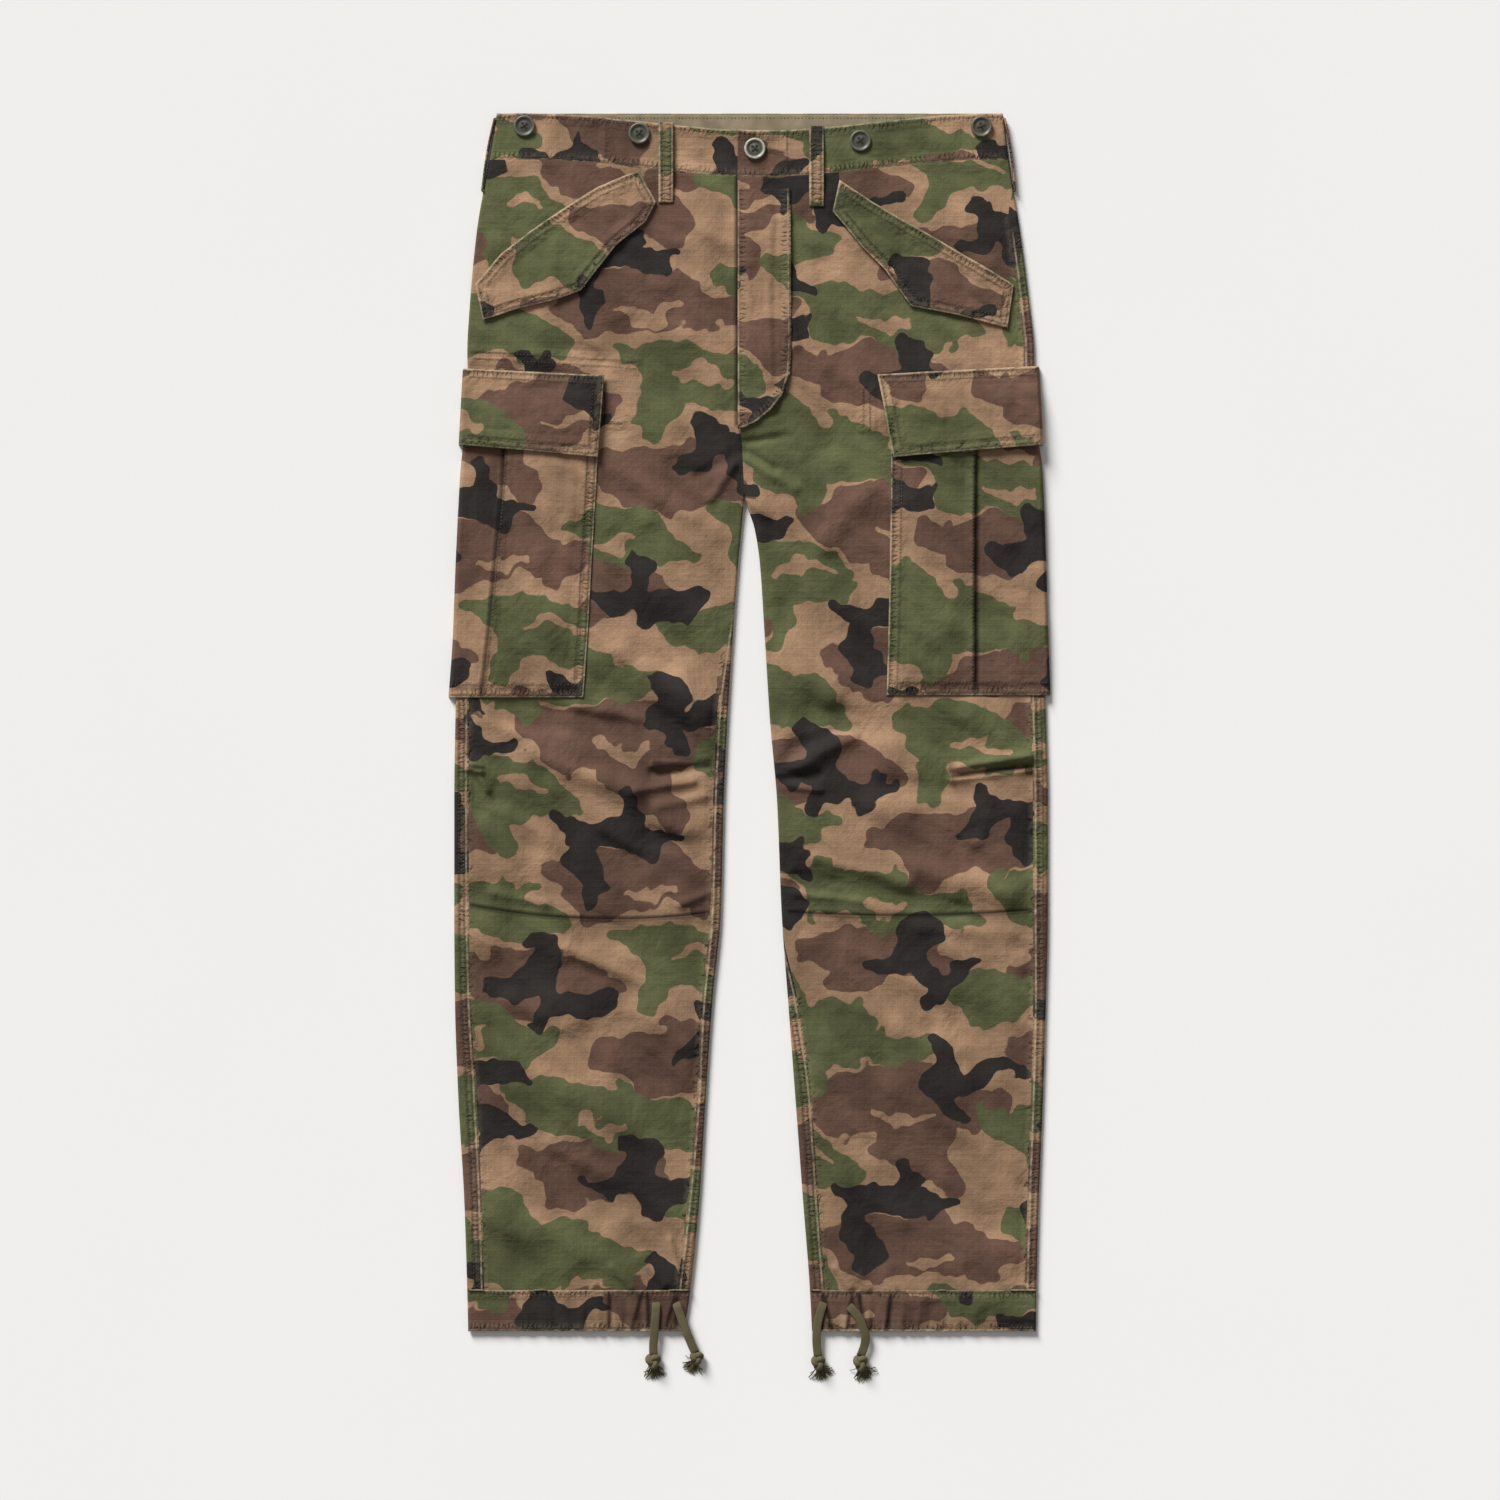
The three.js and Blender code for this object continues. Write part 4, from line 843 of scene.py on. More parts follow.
class Ripstop(Nodes):
    """Cotton ripstop with a woodland print: matt, with a raised 5 mm grid of heavier threads.

    Washing has bleached it in soft clouds, which also carry painted broad shade of the soft folds, and
    rubbed the ink off along the sewn edges. Beside a sewn edge the cloth puckers between the stitches:
    painted shade in each dent, and rubbed pale ink on each ridge. Painted shade also darkens the cloth
    along its stitched grooves and sharp creases.
    """

    # Woodland inks on cotton, after many washes: the ground, and the inks in the order of printing.
    GROUND = "#997A60"
    INKS = {"ink_brown": "#634A3E", "ink_green": "#585B3C", "ink_tan": GROUND, "ink_black": "#2C2826"}
    RUBBED = "#B9A98C"

    def __init__(self) -> None:
        """Starts the material with the patterns that both its colour and its relief need."""
        super().__init__(Finish("cotton_ripstop_woodland_washed", roughness=0.92, specular=0.2))
        self.weave = self.thread_grid()
        self.yarn = self.noise(900.0)
        self.pucker = self.noise(190.0, 3.0)
        self.edge = self.attribute("edge")
        self.groove = self.attribute("groove")
        starts, ends = self.ramp(self.edge, 0.8, 2.0, 0.0, 1.0), self.ramp(self.edge, 4.0, 7.5)
        self.band = self.maths("MULTIPLY", starts, ends)
        self.dents = self.make_dents()

    def thread_grid(self) -> Socket:
        """The heavier threads, 5 mm apart both ways: 1 on a thread, 0 between them."""
        half_pitch, thread, fades_by = 2.5 * MM, 0.2 * MM, 1.0 * MM
        split = self.add("ShaderNodeSeparateXYZ", {"Vector": self.coords})
        places = [self.maths("PINGPONG", split.outputs[axis], half_pitch) for axis in "XY"]
        return self.maths("MAXIMUM", *(self.ramp(place, thread, fades_by) for place in places))

    def make_dents(self) -> Socket:
        """The dents beside a sewn edge, one for each pucker, uneven and deeper in some places."""
        unevenness = 7.0
        uneven = self.maths("MULTIPLY_ADD", self.pucker, unevenness, self.attribute("along"))
        wave = self.maths("PINGPONG", uneven, PUCKER_PITCH / 2)
        dents = self.maths("MULTIPLY", self.ramp(wave, 0.3, 1.1), self.band)
        return self.maths("MULTIPLY", dents, self.ramp(self.noise(75.0), 0.4, 0.62, 0.15, 1.0))

    def printed(self) -> Socket:
        """The print: the mesh's signed distances, made ragged by about half a millimetre."""
        raggedness = 0.9
        ragged = self.noise(700.0)
        colour = self.GROUND
        for ink, shade in self.INKS.items():
            distance = self.maths("MULTIPLY_ADD", ragged, raggedness, self.attribute(ink))
            colour = self.mixed(self.ramp(distance, 0.7, 0.2, 0.0, 1.0), colour, shade)
        return colour

    def level(self) -> Socket:
        """How light the cloth is: the product of its fading and of what darkens it, with painted shade in its
        clouds, grooves, creases and dents.
        """
        height = self.add("ShaderNodeSeparateXYZ", {"Vector": self.coords}).outputs["Y"]
        parts = {
            # clouds: bleached by washing, and painted broad shade of the soft folds
            "clouds": self.ramp(self.noise(14.0, 6.0, Roughness=0.65), 0.36, 0.64, 0.7, 1.18),
            "yarns": self.ramp(self.yarn, 0.25, 0.75, 0.88, 1.12),
            "paler hips than shins": self.ramp(height, -0.35, 0.35, 0.88, 1.07),
            "thread grid": self.maths("MULTIPLY_ADD", self.weave, 0.02, 0.99),
            # painted shade: darker in the sunk grooves along the rows of stitches
            "stitched grooves": self.ramp(self.groove, 0.3, 1.6, 0.55, 1.0),
            # painted shade: a dark line along each sharp crease, knee tuck, pleat, hem gather, buttonhole
            # slit and under the fly
            "creases": self.ramp(self.attribute("crease"), 0.5, 3.4, 0.2, 1.0),
            # painted shade in each pucker dent beside a sewn edge
            "dents": self.maths("MULTIPLY_ADD", self.dents, -0.34, 1.0),
        }
        level, *others = parts.values()
        for part in others:
            level = self.maths("MULTIPLY", level, part)
        return level

    def rubbed(self) -> Socket:
        """How much ink is rubbed off: along the very edge, and on the ridges beside it, in spots."""
        ridge_share = 0.07
        lip = self.ramp(self.edge, 0.4, 1.2, 0.55, 0.0)
        ridge = self.maths("MULTIPLY", self.maths("SUBTRACT", self.band, self.dents), ridge_share)
        spots = self.ramp(self.pucker, 0.36, 0.6, 0.25, 1.0)
        return self.maths("MULTIPLY", self.maths("ADD", lip, ridge), spots)

    def relief(self) -> Socket:
        """The normal: soft creases, puckers by the stitches, the dents and the weave."""
        creases = self.noise(24.0, 5.0, Roughness=0.5, Distortion=0.3)
        puckers = self.maths("MULTIPLY", self.ramp(self.groove, 0.0, 7.0), self.pucker)
        normal = self.bump(creases, 0.0065, 0.85)
        normal = self.bump(puckers, 0.003, 0.7, normal)
        normal = self.bump(self.dents, 0.0009, 1.0, normal, is_sunk=True)
        return self.bump(self.maths("ADD", self.weave, self.yarn), 0.0003, 0.22, normal)

    def build(self) -> bpy.types.Material:
        """Makes the material."""
        toned = self.scaled(self.printed(), self.level())
        return self.joined(self.mixed(self.rubbed(), toned, self.RUBBED), self.relief())


def mottled(finish: Finish, scale: float, dark: str, light: str) -> bpy.types.Material:
    """A plain material that drifts between two tones in clouds."""
    nodes = Nodes(finish)
    return nodes.joined(nodes.mixed(nodes.noise(scale), dark, light))


def woven(name: str, colour: str, pitch: float) -> bpy.types.Material:
    """Plain-dyed cotton: matt, faded in clouds, with diagonal twill ribs whose pitch is in mm."""
    nodes = Nodes(Finish(name, roughness=0.9, specular=0.2))
    scale_to_pitch = 3.2
    scale = 1.0 / (pitch * MM) / scale_to_pitch
    inputs = {"Vector": nodes.coords, "Scale": scale, "Distortion": 0.4, "Detail": 1.0}
    ribs = nodes.add("ShaderNodeTexWave", inputs, bands_direction="DIAGONAL").outputs["Fac"]
    clouds = nodes.ramp(nodes.noise(60.0, 4.0), 0.3, 0.7, 0.8, 1.2)
    level = nodes.maths("MULTIPLY", clouds, nodes.ramp(ribs, 0.0, 1.0, 0.88, 1.08))
    return nodes.joined(nodes.scaled(colour, level), nodes.bump(ribs, 0.0004, 0.6))


def moulded(finish: Finish, body: str, worn_and_lit: str) -> bpy.types.Material:
    """Moulded resin, its rims paler: rubbed by washing, and a painted highlight."""
    nodes = Nodes(finish)
    grain = nodes.noise(350.0, 4.0)
    # The pale rim is partly rubbed resin and partly a painted highlight.
    rubbed = nodes.maths("MULTIPLY", nodes.attribute("rim"), grain)
    return nodes.joined(nodes.mixed(rubbed, body, worn_and_lit), nodes.bump(grain, 0.0002, 0.3))


class Materials:
    """The materials of the trousers, each made once."""

    def __init__(self) -> None:
        """Makes every material."""
        self.ripstop = Ripstop().build()
        # Plain olive cotton twill inside the waist, and the drawstring's flat cotton tape.
        self.facing = woven("cotton_twill_olive_facing", "#8F826A", 1.1)
        self.tape = woven("cotton_tape_olive_drawstring", "#5F5840", 0.9)
        # Urea buttons, dark olive and satin, their rims paler from rubbing and a painted highlight; their
        # thread, and the shade inside their holes.
        self.button = moulded(Finish("moulded_urea_button_olive", roughness=0.42), "#45453A", "#B5B3A2")
        self.hole_thread = woven("button_thread", "#302E26", 0.5)
        self.hole = mottled(Finish("shaded_hole", roughness=0.8), 800.0, "#15140F", "#2A281F")
        # Cotton-wrapped sewing thread: olive tan, matt, a little darker in places.
        thread = Finish("cotton_wrapped_thread_olive", roughness=0.8)
        self.thread = mottled(thread, 120.0, "#39332A", "#766C52")


def new_object(name: str, vertices: Array, faces: Sequence, material: bpy.types.Material,
               attributes: dict[str, Array] | None = None) -> bpy.types.Object:
    """Makes a smooth mesh object from vertices in mm.

    Args:
        name: The piece's name.
        vertices: Points in mm, row frame.
        faces: Vertex numbers of each face, all with as many corners, or a list of mixed ones.
        material: Its material.
        attributes: Point attributes by name.

    Returns:
        The object, linked to the scene.
    """
    mesh = bpy.data.meshes.new(name)
    mesh.from_pydata((vertices.reshape(-1, 3) * MM).tolist(), [], np.asarray(faces).tolist())
    for key, values in (attributes or {}).items():
        layer = mesh.attributes.new(key, "FLOAT", "POINT")
        layer.data.foreach_set("value", np.ascontiguousarray(values, dtype=np.float32).ravel())
    mesh.polygons.foreach_set("use_smooth", np.full(len(mesh.polygons), True))
    mesh.materials.append(material)
    mesh.update()
    thing = bpy.data.objects.new(name, mesh)
    bpy.context.scene.collection.objects.link(thing)
    return thing


def dress(thing: bpy.types.Object, slot: str, node: str | None = None) -> bpy.types.Object:
    """Rides an object on the body, and hides the CAD node in whose place it stands."""
    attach(thing, "root")
    if node is not None:
        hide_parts(node)
    return thing


def quads_of(rows: int, columns: int, is_ring: bool = False) -> Array:
    """Quads between the neighbours of a grid, closed round its columns if it is a ring."""
    i, j = np.meshgrid(np.arange(rows - 1), np.arange(columns if is_ring else columns - 1), indexing="ij")
    k = (j + 1) % columns
    quads = np.stack([i * columns + j, i * columns + k, (i + 1) * columns + k, (i + 1) * columns + j], -1)
    return quads.reshape(-1, 4)


def faces_up(points: Array, quads: Array, up: bool) -> Array:
    """The quads, turned over if they don't face up (or down) on average."""
    flat = points.reshape(-1, 3)
    a, b, c, d = (flat[quads[:, k]] for k in range(4))
    normal = np.cross(c - a, d - b)
    return quads if (normal[:, 2].sum() > 0) == up else quads[:, ::-1]


@dataclass
class ClothPiece:
    """One cut piece of cloth as a fine grid, with its flat size in mm, and the lines along which its ink is
    rubbed off and painted shade darkens it.

    Attributes:
        node: The CAD node in whose place it stands.
        points: Its grid of points.
        flat: Width and height of the cut that shows.
        area: The cut's area, if it isn't the whole of that rectangle. Not used.
        rests_on: The pieces that it lies on.
        up: Whether its outer side faces up.
        is_ring: Whether its columns run all round.
        stitch_lines: The rows of stitches in it.
        edge_lines: Its edges that pucker between the stitches.
        plain_edges: Its edges that don't.
        shaded_lines: Creases so sharp that they hold a painted shade line.
    """

    node: str
    points: Array
    flat: tuple[float, float]
    area: float | None = None
    rests_on: tuple[str, ...] = ()
    up: bool = True
    is_ring: bool = False
    stitch_lines: list[Array] = field(default_factory=list)
    edge_lines: list[Array] = field(default_factory=list)
    plain_edges: list[Array] = field(default_factory=list)
    shaded_lines: list[Array] = field(default_factory=list)

    def build(self, materials: Materials) -> bpy.types.Object:
        """Makes the object, of plain facing where it has no cut of the print."""
        x, y = self.points[..., 0], self.points[..., 1]
        edge, along = line_distance(x, y, self.edge_lines)
        plain = line_distance(x, y, self.plain_edges)[0]
        attributes = {
            "groove": line_distance(x, y, self.stitch_lines)[0],
            "crease": line_distance(x, y, self.shaded_lines)[0],
            "edge": np.minimum(edge, plain),
            "along": np.where(plain < edge, PUCKER_PITCH / 2, along),
        }
        material, slot = materials.facing, "facing"
        if self.node in CUTS:
            material, slot = materials.ripstop, "ripstop"
            attributes |= CUTS[self.node].inks(x, y)
        quads = quads_of(*self.points.shape[:2], is_ring=self.is_ring)
        if not self.is_ring:
            quads = faces_up(self.points, quads, self.up)
        thing = new_object(f"{self.node}_cloth", self.points, quads, material, attributes)
        dress(thing, slot, self.node)
        wide, tall = self.flat
        list(self.rests_on)
        return thing


@dataclass
class Stitching:
    """Rows of stitches, gathered over the whole garment and made one object."""

    material: bpy.types.Material
    parts: list[Array] = field(default_factory=list)

    def sew(self, lines: Sequence[Array], height: Height, pitch: float = 3.1, length: float = 2.2) -> None:
        """Lays stitches along lines on a surface.

        Each is a spindle of six points: its ends dip into the cloth and its middle stands proud.

        Args:
            lines: Points x, y of each seam, in mm.
            height: The cloth's height at x, y.
            pitch: Distance from stitch to stitch, in mm.
            length: Length of a stitch, in mm.
        """
        half, wide, proud, sunk, look = length / 2, 0.36, 0.28, 0.12, 0.5
        middle = [(0, wide, 0), (0, 0, proud), (0, -wide, 0), (0, 0, -sunk)]
        corners = [(-half, 0, -sunk), *middle, (half, 0, -sunk)]
        for line in lines:
            places = np.concatenate([[0], np.cumsum(np.hypot(*np.diff(line[:, :2], axis=0).T))])
            at = np.arange(pitch / 2, places[-1], pitch)
            if not len(at):
                continue
            (x, y), ahead, back = ([np.interp(at + by, places, line[:, k]) for k in (0, 1)]
                                   for by in (0.0, look, -look))
            along = unit(np.stack([ahead[0] - back[0], ahead[1] - back[1]], -1))
            across = np.stack([-along[:, 1], along[:, 0]], -1)
            points = []
            for a, c, up in corners:
                px, py = x + a * along[:, 0] + c * across[:, 0], y + a * along[:, 1] + c * across[:, 1]
                points.append(np.stack([px, py, height(px, py) + up], -1))
            self.parts.append(np.stack(points, 1))

    def build(self, name: str) -> bpy.types.Object:
        """Makes one object of all the stitches."""
        stitches = np.concatenate(self.parts)
        ring = [(1 + k, 1 + (k + 1) % 4) for k in range(4)]
        starts, ends = [(0, after, before) for before, after in ring], [(5, *pair) for pair in ring]
        faces = np.array(starts + ends)[None] + 6 * np.arange(len(stitches))[:, None, None]
        faces = faces.reshape(-1, 3)
        return dress(new_object(name, stitches.reshape(-1, 3), faces, self.material), "ripstop")


def straight(row: Sequence[float], count: int = 12) -> Array:
    """A straight polyline from a table's row of x1, y1, x2, y2."""
    x1, y1, x2, y2 = row
    t = np.linspace(0, 1, count)
    return grid(x1 + (x2 - x1) * t, y1 + (y2 - y1) * t)


def seam_line(edge: Edge, top: float, inset: float = 0.0, least: float = -math.inf) -> Array:
    """A polyline down one of a leg's seams, from a top to the hem casing, moved out towards its fold."""
    y = np.linspace(top, CASING_TOP, 40)
    return grid(edge.x(y) + edge.inward * np.maximum(edge.seam(y) - inset, least), y)


def arc_places(line: Array) -> Array:
    """How far along a polyline each of its points lies, from 0 to 1."""
    places = np.concatenate([[0], np.cumsum(np.hypot(*np.diff(line, axis=0).T))])
    return places / places[-1]


def inset_line(line: Array, middle: Array, by: float) -> Array:
    """A line moved sideways towards a point by a distance, and shortened by it at both ends."""
    along = unit(np.gradient(line, axis=0))
    across = np.stack([-along[:, 1], along[:, 0]], -1)
    side = np.sign(((middle - line) * across).sum(-1, keepdims=True))
    moved = line + across * side * by
    places = np.concatenate([[0], np.cumsum(np.hypot(*np.diff(line, axis=0).T))])
    kept = (places > by) & (places < places[-1] - by)
    return moved[kept] if kept.sum() > 2 else moved


def on_grid(points: Array) -> Height:
    """The height of a grid of points: that of the nearest one."""
    flat, batch = points.reshape(-1, 3), 64

    def height(x: Array, y: Array) -> Array:
        out = np.empty(np.shape(x))
        for start in range(0, len(out), batch):
            part = slice(start, start + batch)
            d = (flat[None, :, 0] - x[part, None]) ** 2 + (flat[None, :, 1] - y[part, None]) ** 2
            out[part] = flat[d.argmin(1), 2]
        return out

    return height


def over_dip(height: Height) -> Height:
    """A height function of the undipped front, read where the front waist has moved down to."""

    def at_dipped(x: Array, y: Array) -> Array:
        level = y + dip(x, y)
        for _ in range(3):
            level = y + dip(x, level)
        return height(x, level)

    return at_dipped


def front_surface(leg: Leg, y: Array) -> Array:
    """Points of a front at heights y, one column for each of y's.

    The columns run from the outer seam round the fold to 8 mm in over the top, evenly across the
    leg, and the same again to the inner seam.
    """
    on_top, near = 8.0, FOLD_COLUMNS
    t = np.linspace(0, 1, near)

    def side(edge: Edge, columns: Array) -> Array:
        start = seam_place(edge, columns, True)
        corner = np.minimum(0, start - 1)
        place = np.where(t < 0.5, start + (corner - start) * t * 2, corner - on_top * (2 * t - 1))
        return round_fold(leg, edge, columns, place)

    outer = side(leg.outer, y[:, :near])
    inner = side(leg.inner, y[:, -near:][:, ::-1])[:, ::-1]
    middles = y[:, near:-near]
    from_x, to_x = (
        round_fold(leg, edge, middles, np.minimum(0, seam_place(edge, middles, True) - 1) - on_top)[..., 0]
        for edge in (leg.outer, leg.inner)
    )
    x = from_x + (to_x - from_x) * np.linspace(0, 1, middles.shape[1] + 2)[1:-1]
    points = np.concatenate([outer, grid(x, middles, PANEL_TOP + relief(leg, x, middles)), inner], 1)
    points[..., 1] -= dip(points[..., 0], points[..., 1])
    return points


def front_rows(leg: Leg) -> Array:
    """Heights of a front's points: rows 2 mm apart, split at the knee tuck so that its step is sharp."""
    step, near, close = 2.0, 0.35, np.array([0.5, 1.1, 1.8])
    top, bottom = BAND_BOTTOM - SEAM_GAP, CASING_TOP + SEAM_GAP
    count_above, count_below = round((top - KNEE) / step), round((KNEE - bottom) / step)
    above = np.concatenate([np.arange(count_above - 1), count_above - close[::-1] / step, [count_above]])
    below = np.concatenate([[0], close / step, np.arange(2, count_below + 1)])

    def rows_at(tuck: float) -> Array:
        upper = top + (tuck + near - top) * above / count_above
        lower = tuck - near + (bottom - tuck + near) * below / count_below
        return np.concatenate([upper, lower])

    middle = (leg.outer.x(KNEE) + leg.inner.x(KNEE)) / 2
    rows = rows_at(float(tuck_line(leg, middle)))
    by_knee = np.full((1, 2 * FOLD_COLUMNS + 96), rows[round(len(rows) * 0.66)])
    tucks = tuck_line(leg, front_surface(leg, by_knee)[0, :, 0])
    return np.stack([rows_at(tuck) for tuck in tucks], axis=1)


def front_creases(leg: Leg) -> list[Array]:
    """The shaded lines of a front: above its knee tuck, along its sharp creases, and under the fly."""
    above, inset, under_fly, fly_bottom = 0.9, 7.0, 1.2, 262.0
    x = np.linspace(*sorted(float(e.x(KNEE)) + e.inward * inset for e in (leg.outer, leg.inner)), 60)
    lines = [grid(x, tuck_line(leg, x) + above), *(straight(row) for row in SHARP_CREASES if leg.has(row[0]))]
    if leg is Leg.RIGHT:
        lines.append(straight((FLY_EDGE_X - under_fly, BAND_BOTTOM, FLY_EDGE_X - under_fly, fly_bottom), 2))
    return lines


def pocket_top(leg: Leg, is_pleated: bool = True) -> Height:
    """Height of a cargo pocket's skin: sewn down at its edges, off the leg between them.

    The half towards the inner leg lies higher, over the pleat.
    """
    pouch, softens_over, pleat_width = 1.8, 24.0, 1.2
    rows, inward = CARGO_POCKETS[leg.label], leg.outer.inward

    def height(x: Array, y: Array) -> Array:
        edges = np.minimum(inward * (curve(rows, 1, y) - x), np.minimum(y - rows[-1, 0], rows[0, 0] - y))
        full = smooth(edges / softens_over)
        over = smooth(inward * (x - curve(rows, 2, y)) / pleat_width + 0.5) if is_pleated else 1.0
        is_over_fold = inward * (x - leg.outer.x(y)) < FOLD_RADIUS
        base = PANEL_TOP + np.where(is_over_fold, 0, relief(leg, x, y))
        return base + SEAM_GAP + CLOTH + pouch * full + PLEAT_STEP * over * full

    return height


def over_fold(leg: Leg, x: Array, y: Array, outer: Array, height: Height, floor_gap: float) -> Array:
    """Points of a pocket or flap: flat at x, y, then turned down round the leg's outer fold."""
    turn, inward, columns = 4.2, leg.outer.inward, 12
    top = height(outer + inward * turn, y[:, -1:])
    angle = np.linspace(0, math.pi / 2, columns)[None]
    side_x = outer + inward * turn * (1 - np.sin(angle))
    side_z = floor_gap + (top - floor_gap) * np.cos(angle)
    side = grid(side_x, y[:, -1:], side_z)
    return np.concatenate([grid(x, y, height(x, y)), side], 1)


def ring_rolled(points: Array) -> Array:
    """Turns a ring's first and last rows in under themselves by the edge's roll."""
    roll = 0.8
    middle = points.mean(axis=1, keepdims=True)
    rows = [points]
    for sign, row, at in ((1, points[:1], 0), (-1, points[-1:], -1)):
        for angle in np.radians([50.0, 110.0, 170.0]):
            turned = row.copy()
            turned[..., 1] += sign * roll * math.sin(angle)
            turned[..., 2] += np.sign(middle[at, 0, 2] - row[..., 2]) * roll * (1 - math.cos(angle))
            rows = [turned, *rows] if sign > 0 else [*rows, turned]
    return np.concatenate(rows)


class Trousers:
    """The whole garment: makes each piece of cloth and sews it."""

    def __init__(self, materials: Materials) -> None:
        """Keeps the materials and starts the stitching."""
        self.materials = materials
        self.stitching = Stitching(materials.thread)
        self.sew = self.stitching.sew

    def cloth(self, node: str, points: Array, **settings) -> bpy.types.Object:
        """Makes a piece of cloth in place of its CAD node."""
        return ClothPiece(node, points, **settings).build(self.materials)

    def front_panel(self, leg: Leg) -> None:
        """A front, with the rows that hold its inner pocket and its bar tacks."""
        wide, tall = 262.0, 1003.0
        rows = [straight(row) for row in BODY_ROWS if leg.has(row[0])]
        # The side seams show where they lie on top: from the knee down, or from the hip at the outer left.
        tops = (60.0, 60.0) if leg is Leg.RIGHT else (440.0, -245.0)
        seams = [seam_line(edge, top) for edge, top in zip((leg.outer, leg.inner), tops)]
        self.sew(rows, top_of(leg))
        points = rolled(front_surface(leg, front_rows(leg)))
        self.cloth(f"front_panel_{leg.label}", points, flat=(wide, tall), area=0.93 * wide * tall,
                   rests_on=(f"back_panel_{leg.label}",), stitch_lines=[*seams, *rows],
                   plain_edges=seams, shaded_lines=front_creases(leg))

    def back_panel(self, leg: Leg) -> None:
        """A back: flat on the floor and turned up round the folds, with its felled seam strips on top."""
        wide, tall = 300.0, 1003.0
        near, on_floor, up_to_fold = 22, 4.0, 0.6
        y = np.linspace(BAND_BOTTOM - SEAM_GAP, CASING_TOP + SEAM_GAP, 400)[:, None]
        floor = math.pi * FOLD_RADIUS + on_floor
        t = np.linspace(0, 1, near)[None]

        def side(edge: Edge) -> Array:
            start = seam_place(edge, y, False)
            corner = np.maximum(0, start + 1)
            place = np.where(t < up_to_fold, start + (corner - start) * t / up_to_fold,
                             corner + (floor - corner) * (t - up_to_fold) / (1 - up_to_fold))
            return round_fold(leg, edge, np.repeat(y, near, 1), place)

        outer, inner = side(leg.outer), side(leg.inner)[:, ::-1]
        across = np.linspace(0, 1, 8)[None, 1:-1]
        x = outer[:, -1:, 0] + (inner[:, :1, 0] - outer[:, -1:, 0]) * across
        points = np.concatenate([outer, grid(x, y, 0.0), inner], 1)
        tops = (40.0, 40.0) if leg is Leg.RIGHT else (430.0, -255.0)
        lines = [seam_line(edge, top, inset, 0.4)
                 for edge, top in zip((leg.outer, leg.inner), tops) for inset in (2.2, 6.6)]
        edges = [seam_line(edge, 430.0) for edge in (leg.outer, leg.inner)]
        self.sew(lines, top_of(leg, (leg.outer, leg.inner)))
        self.cloth(f"back_panel_{leg.label}", rolled(points, up=False), flat=(wide, tall),
                   area=0.93 * wide * tall, up=False, stitch_lines=lines, edge_lines=edges)

    def waistband_front(self, leg: Leg) -> None:
        """Half of the front waistband, which hangs lower in the middle, with its short rows."""
        top, by_fold, by_fly, level_at = WAIST_TOP - 0.5, 4, 2, 500.0
        y = np.linspace(top, BAND_BOTTOM, 28)[:, None]
        points = front_surface(leg, np.repeat(y, 2 * FOLD_COLUMNS + 120, 1))
        x = np.linspace(leg.outer.x(level_at) + leg.outer.inward * by_fold,
                        leg.inner.x(level_at) + leg.inner.inward * by_fly, 60)
        levels = [np.full_like(x, top - inset) for inset in (2.6, 38.0)]
        lines = [grid(x, level - dip(x, level)) for level in levels]
        edges = [lines[0] + [0, 2.4], lines[1] - [0, 2.0]]
        lines += [straight(row) for row in BAND_ROWS if leg.has(row[0])]
        # The buttonhole slit is drawn as a painted shade line.
        slit = [straight(BUTTONHOLE)] if leg.has(BUTTONHOLE[0]) else []
        undipped = over_dip(top_of(leg))
        beside_slit = [line + [0, beside] for line in slit for beside in (-1.1, 1.1)]
        self.sew(beside_slit, undipped, pitch=1.5, length=1.2)
        self.sew(lines, undipped)
        self.cloth(f"waistband_front_{leg.label}", rolled(points), flat=(240.0, 40.5),
                   rests_on=("waistband_back",), stitch_lines=lines, edge_lines=edges, shaded_lines=slit)

    def waistband_back(self) -> None:
        """The back of the waistband: flat on the floor and turned up round both outer folds."""
        near, on_floor = 14, 4
        y = np.linspace(WAIST_TOP, BAND_BOTTOM, 24)[:, None]
        sides = []
        for leg in Leg:
            start = seam_place(leg.outer, y, False)
            place = start + (math.pi * FOLD_RADIUS + on_floor - start) * np.linspace(0, 1, near)[None]
            sides.append(round_fold(leg, leg.outer, np.repeat(y, near, 1), place))
        right, left = sides[0], sides[1][:, ::-1]
        across = np.linspace(0, 1, 60)[None, 1:-1]
        x = right[:, -1:, 0] + (left[:, :1, 0] - right[:, -1:, 0]) * across
        points = np.concatenate([right, grid(x, y, 0.0), left], 1)
        self.cloth("waistband_back", rolled(points, up=False), flat=(462.0, 40.5), up=False)

    def facing(self) -> None:
        """Plain olive facing inside the back waistband, with its top edge stitched."""
        inset, depth, level = 7.0, 42.0, CLOTH + SEAM_GAP + 1.0
        y = np.linspace(WAIST_TOP - 1, WAIST_TOP - 1 - depth, 30)[:, None]
        from_x, to_x = Leg.RIGHT.outer.x(y) + inset, Leg.LEFT.outer.x(y) - inset
        x = from_x + (to_x - from_x) * np.linspace(0, 1, 220)[None]
        waves = 0.18 * np.sin(x * 0.55) * np.exp(-((WAIST_TOP - y) / 9.0) ** 2)
        line = grid(x[0], WAIST_TOP - 3.6)
        self.sew([line], lambda px, py: np.full(px.shape, level + 0.15))
        self.cloth("waistband_facing_back", rolled(grid(x, y, level + waves)), flat=(440.0, depth),
                   rests_on=("waistband_back",), stitch_lines=[line])

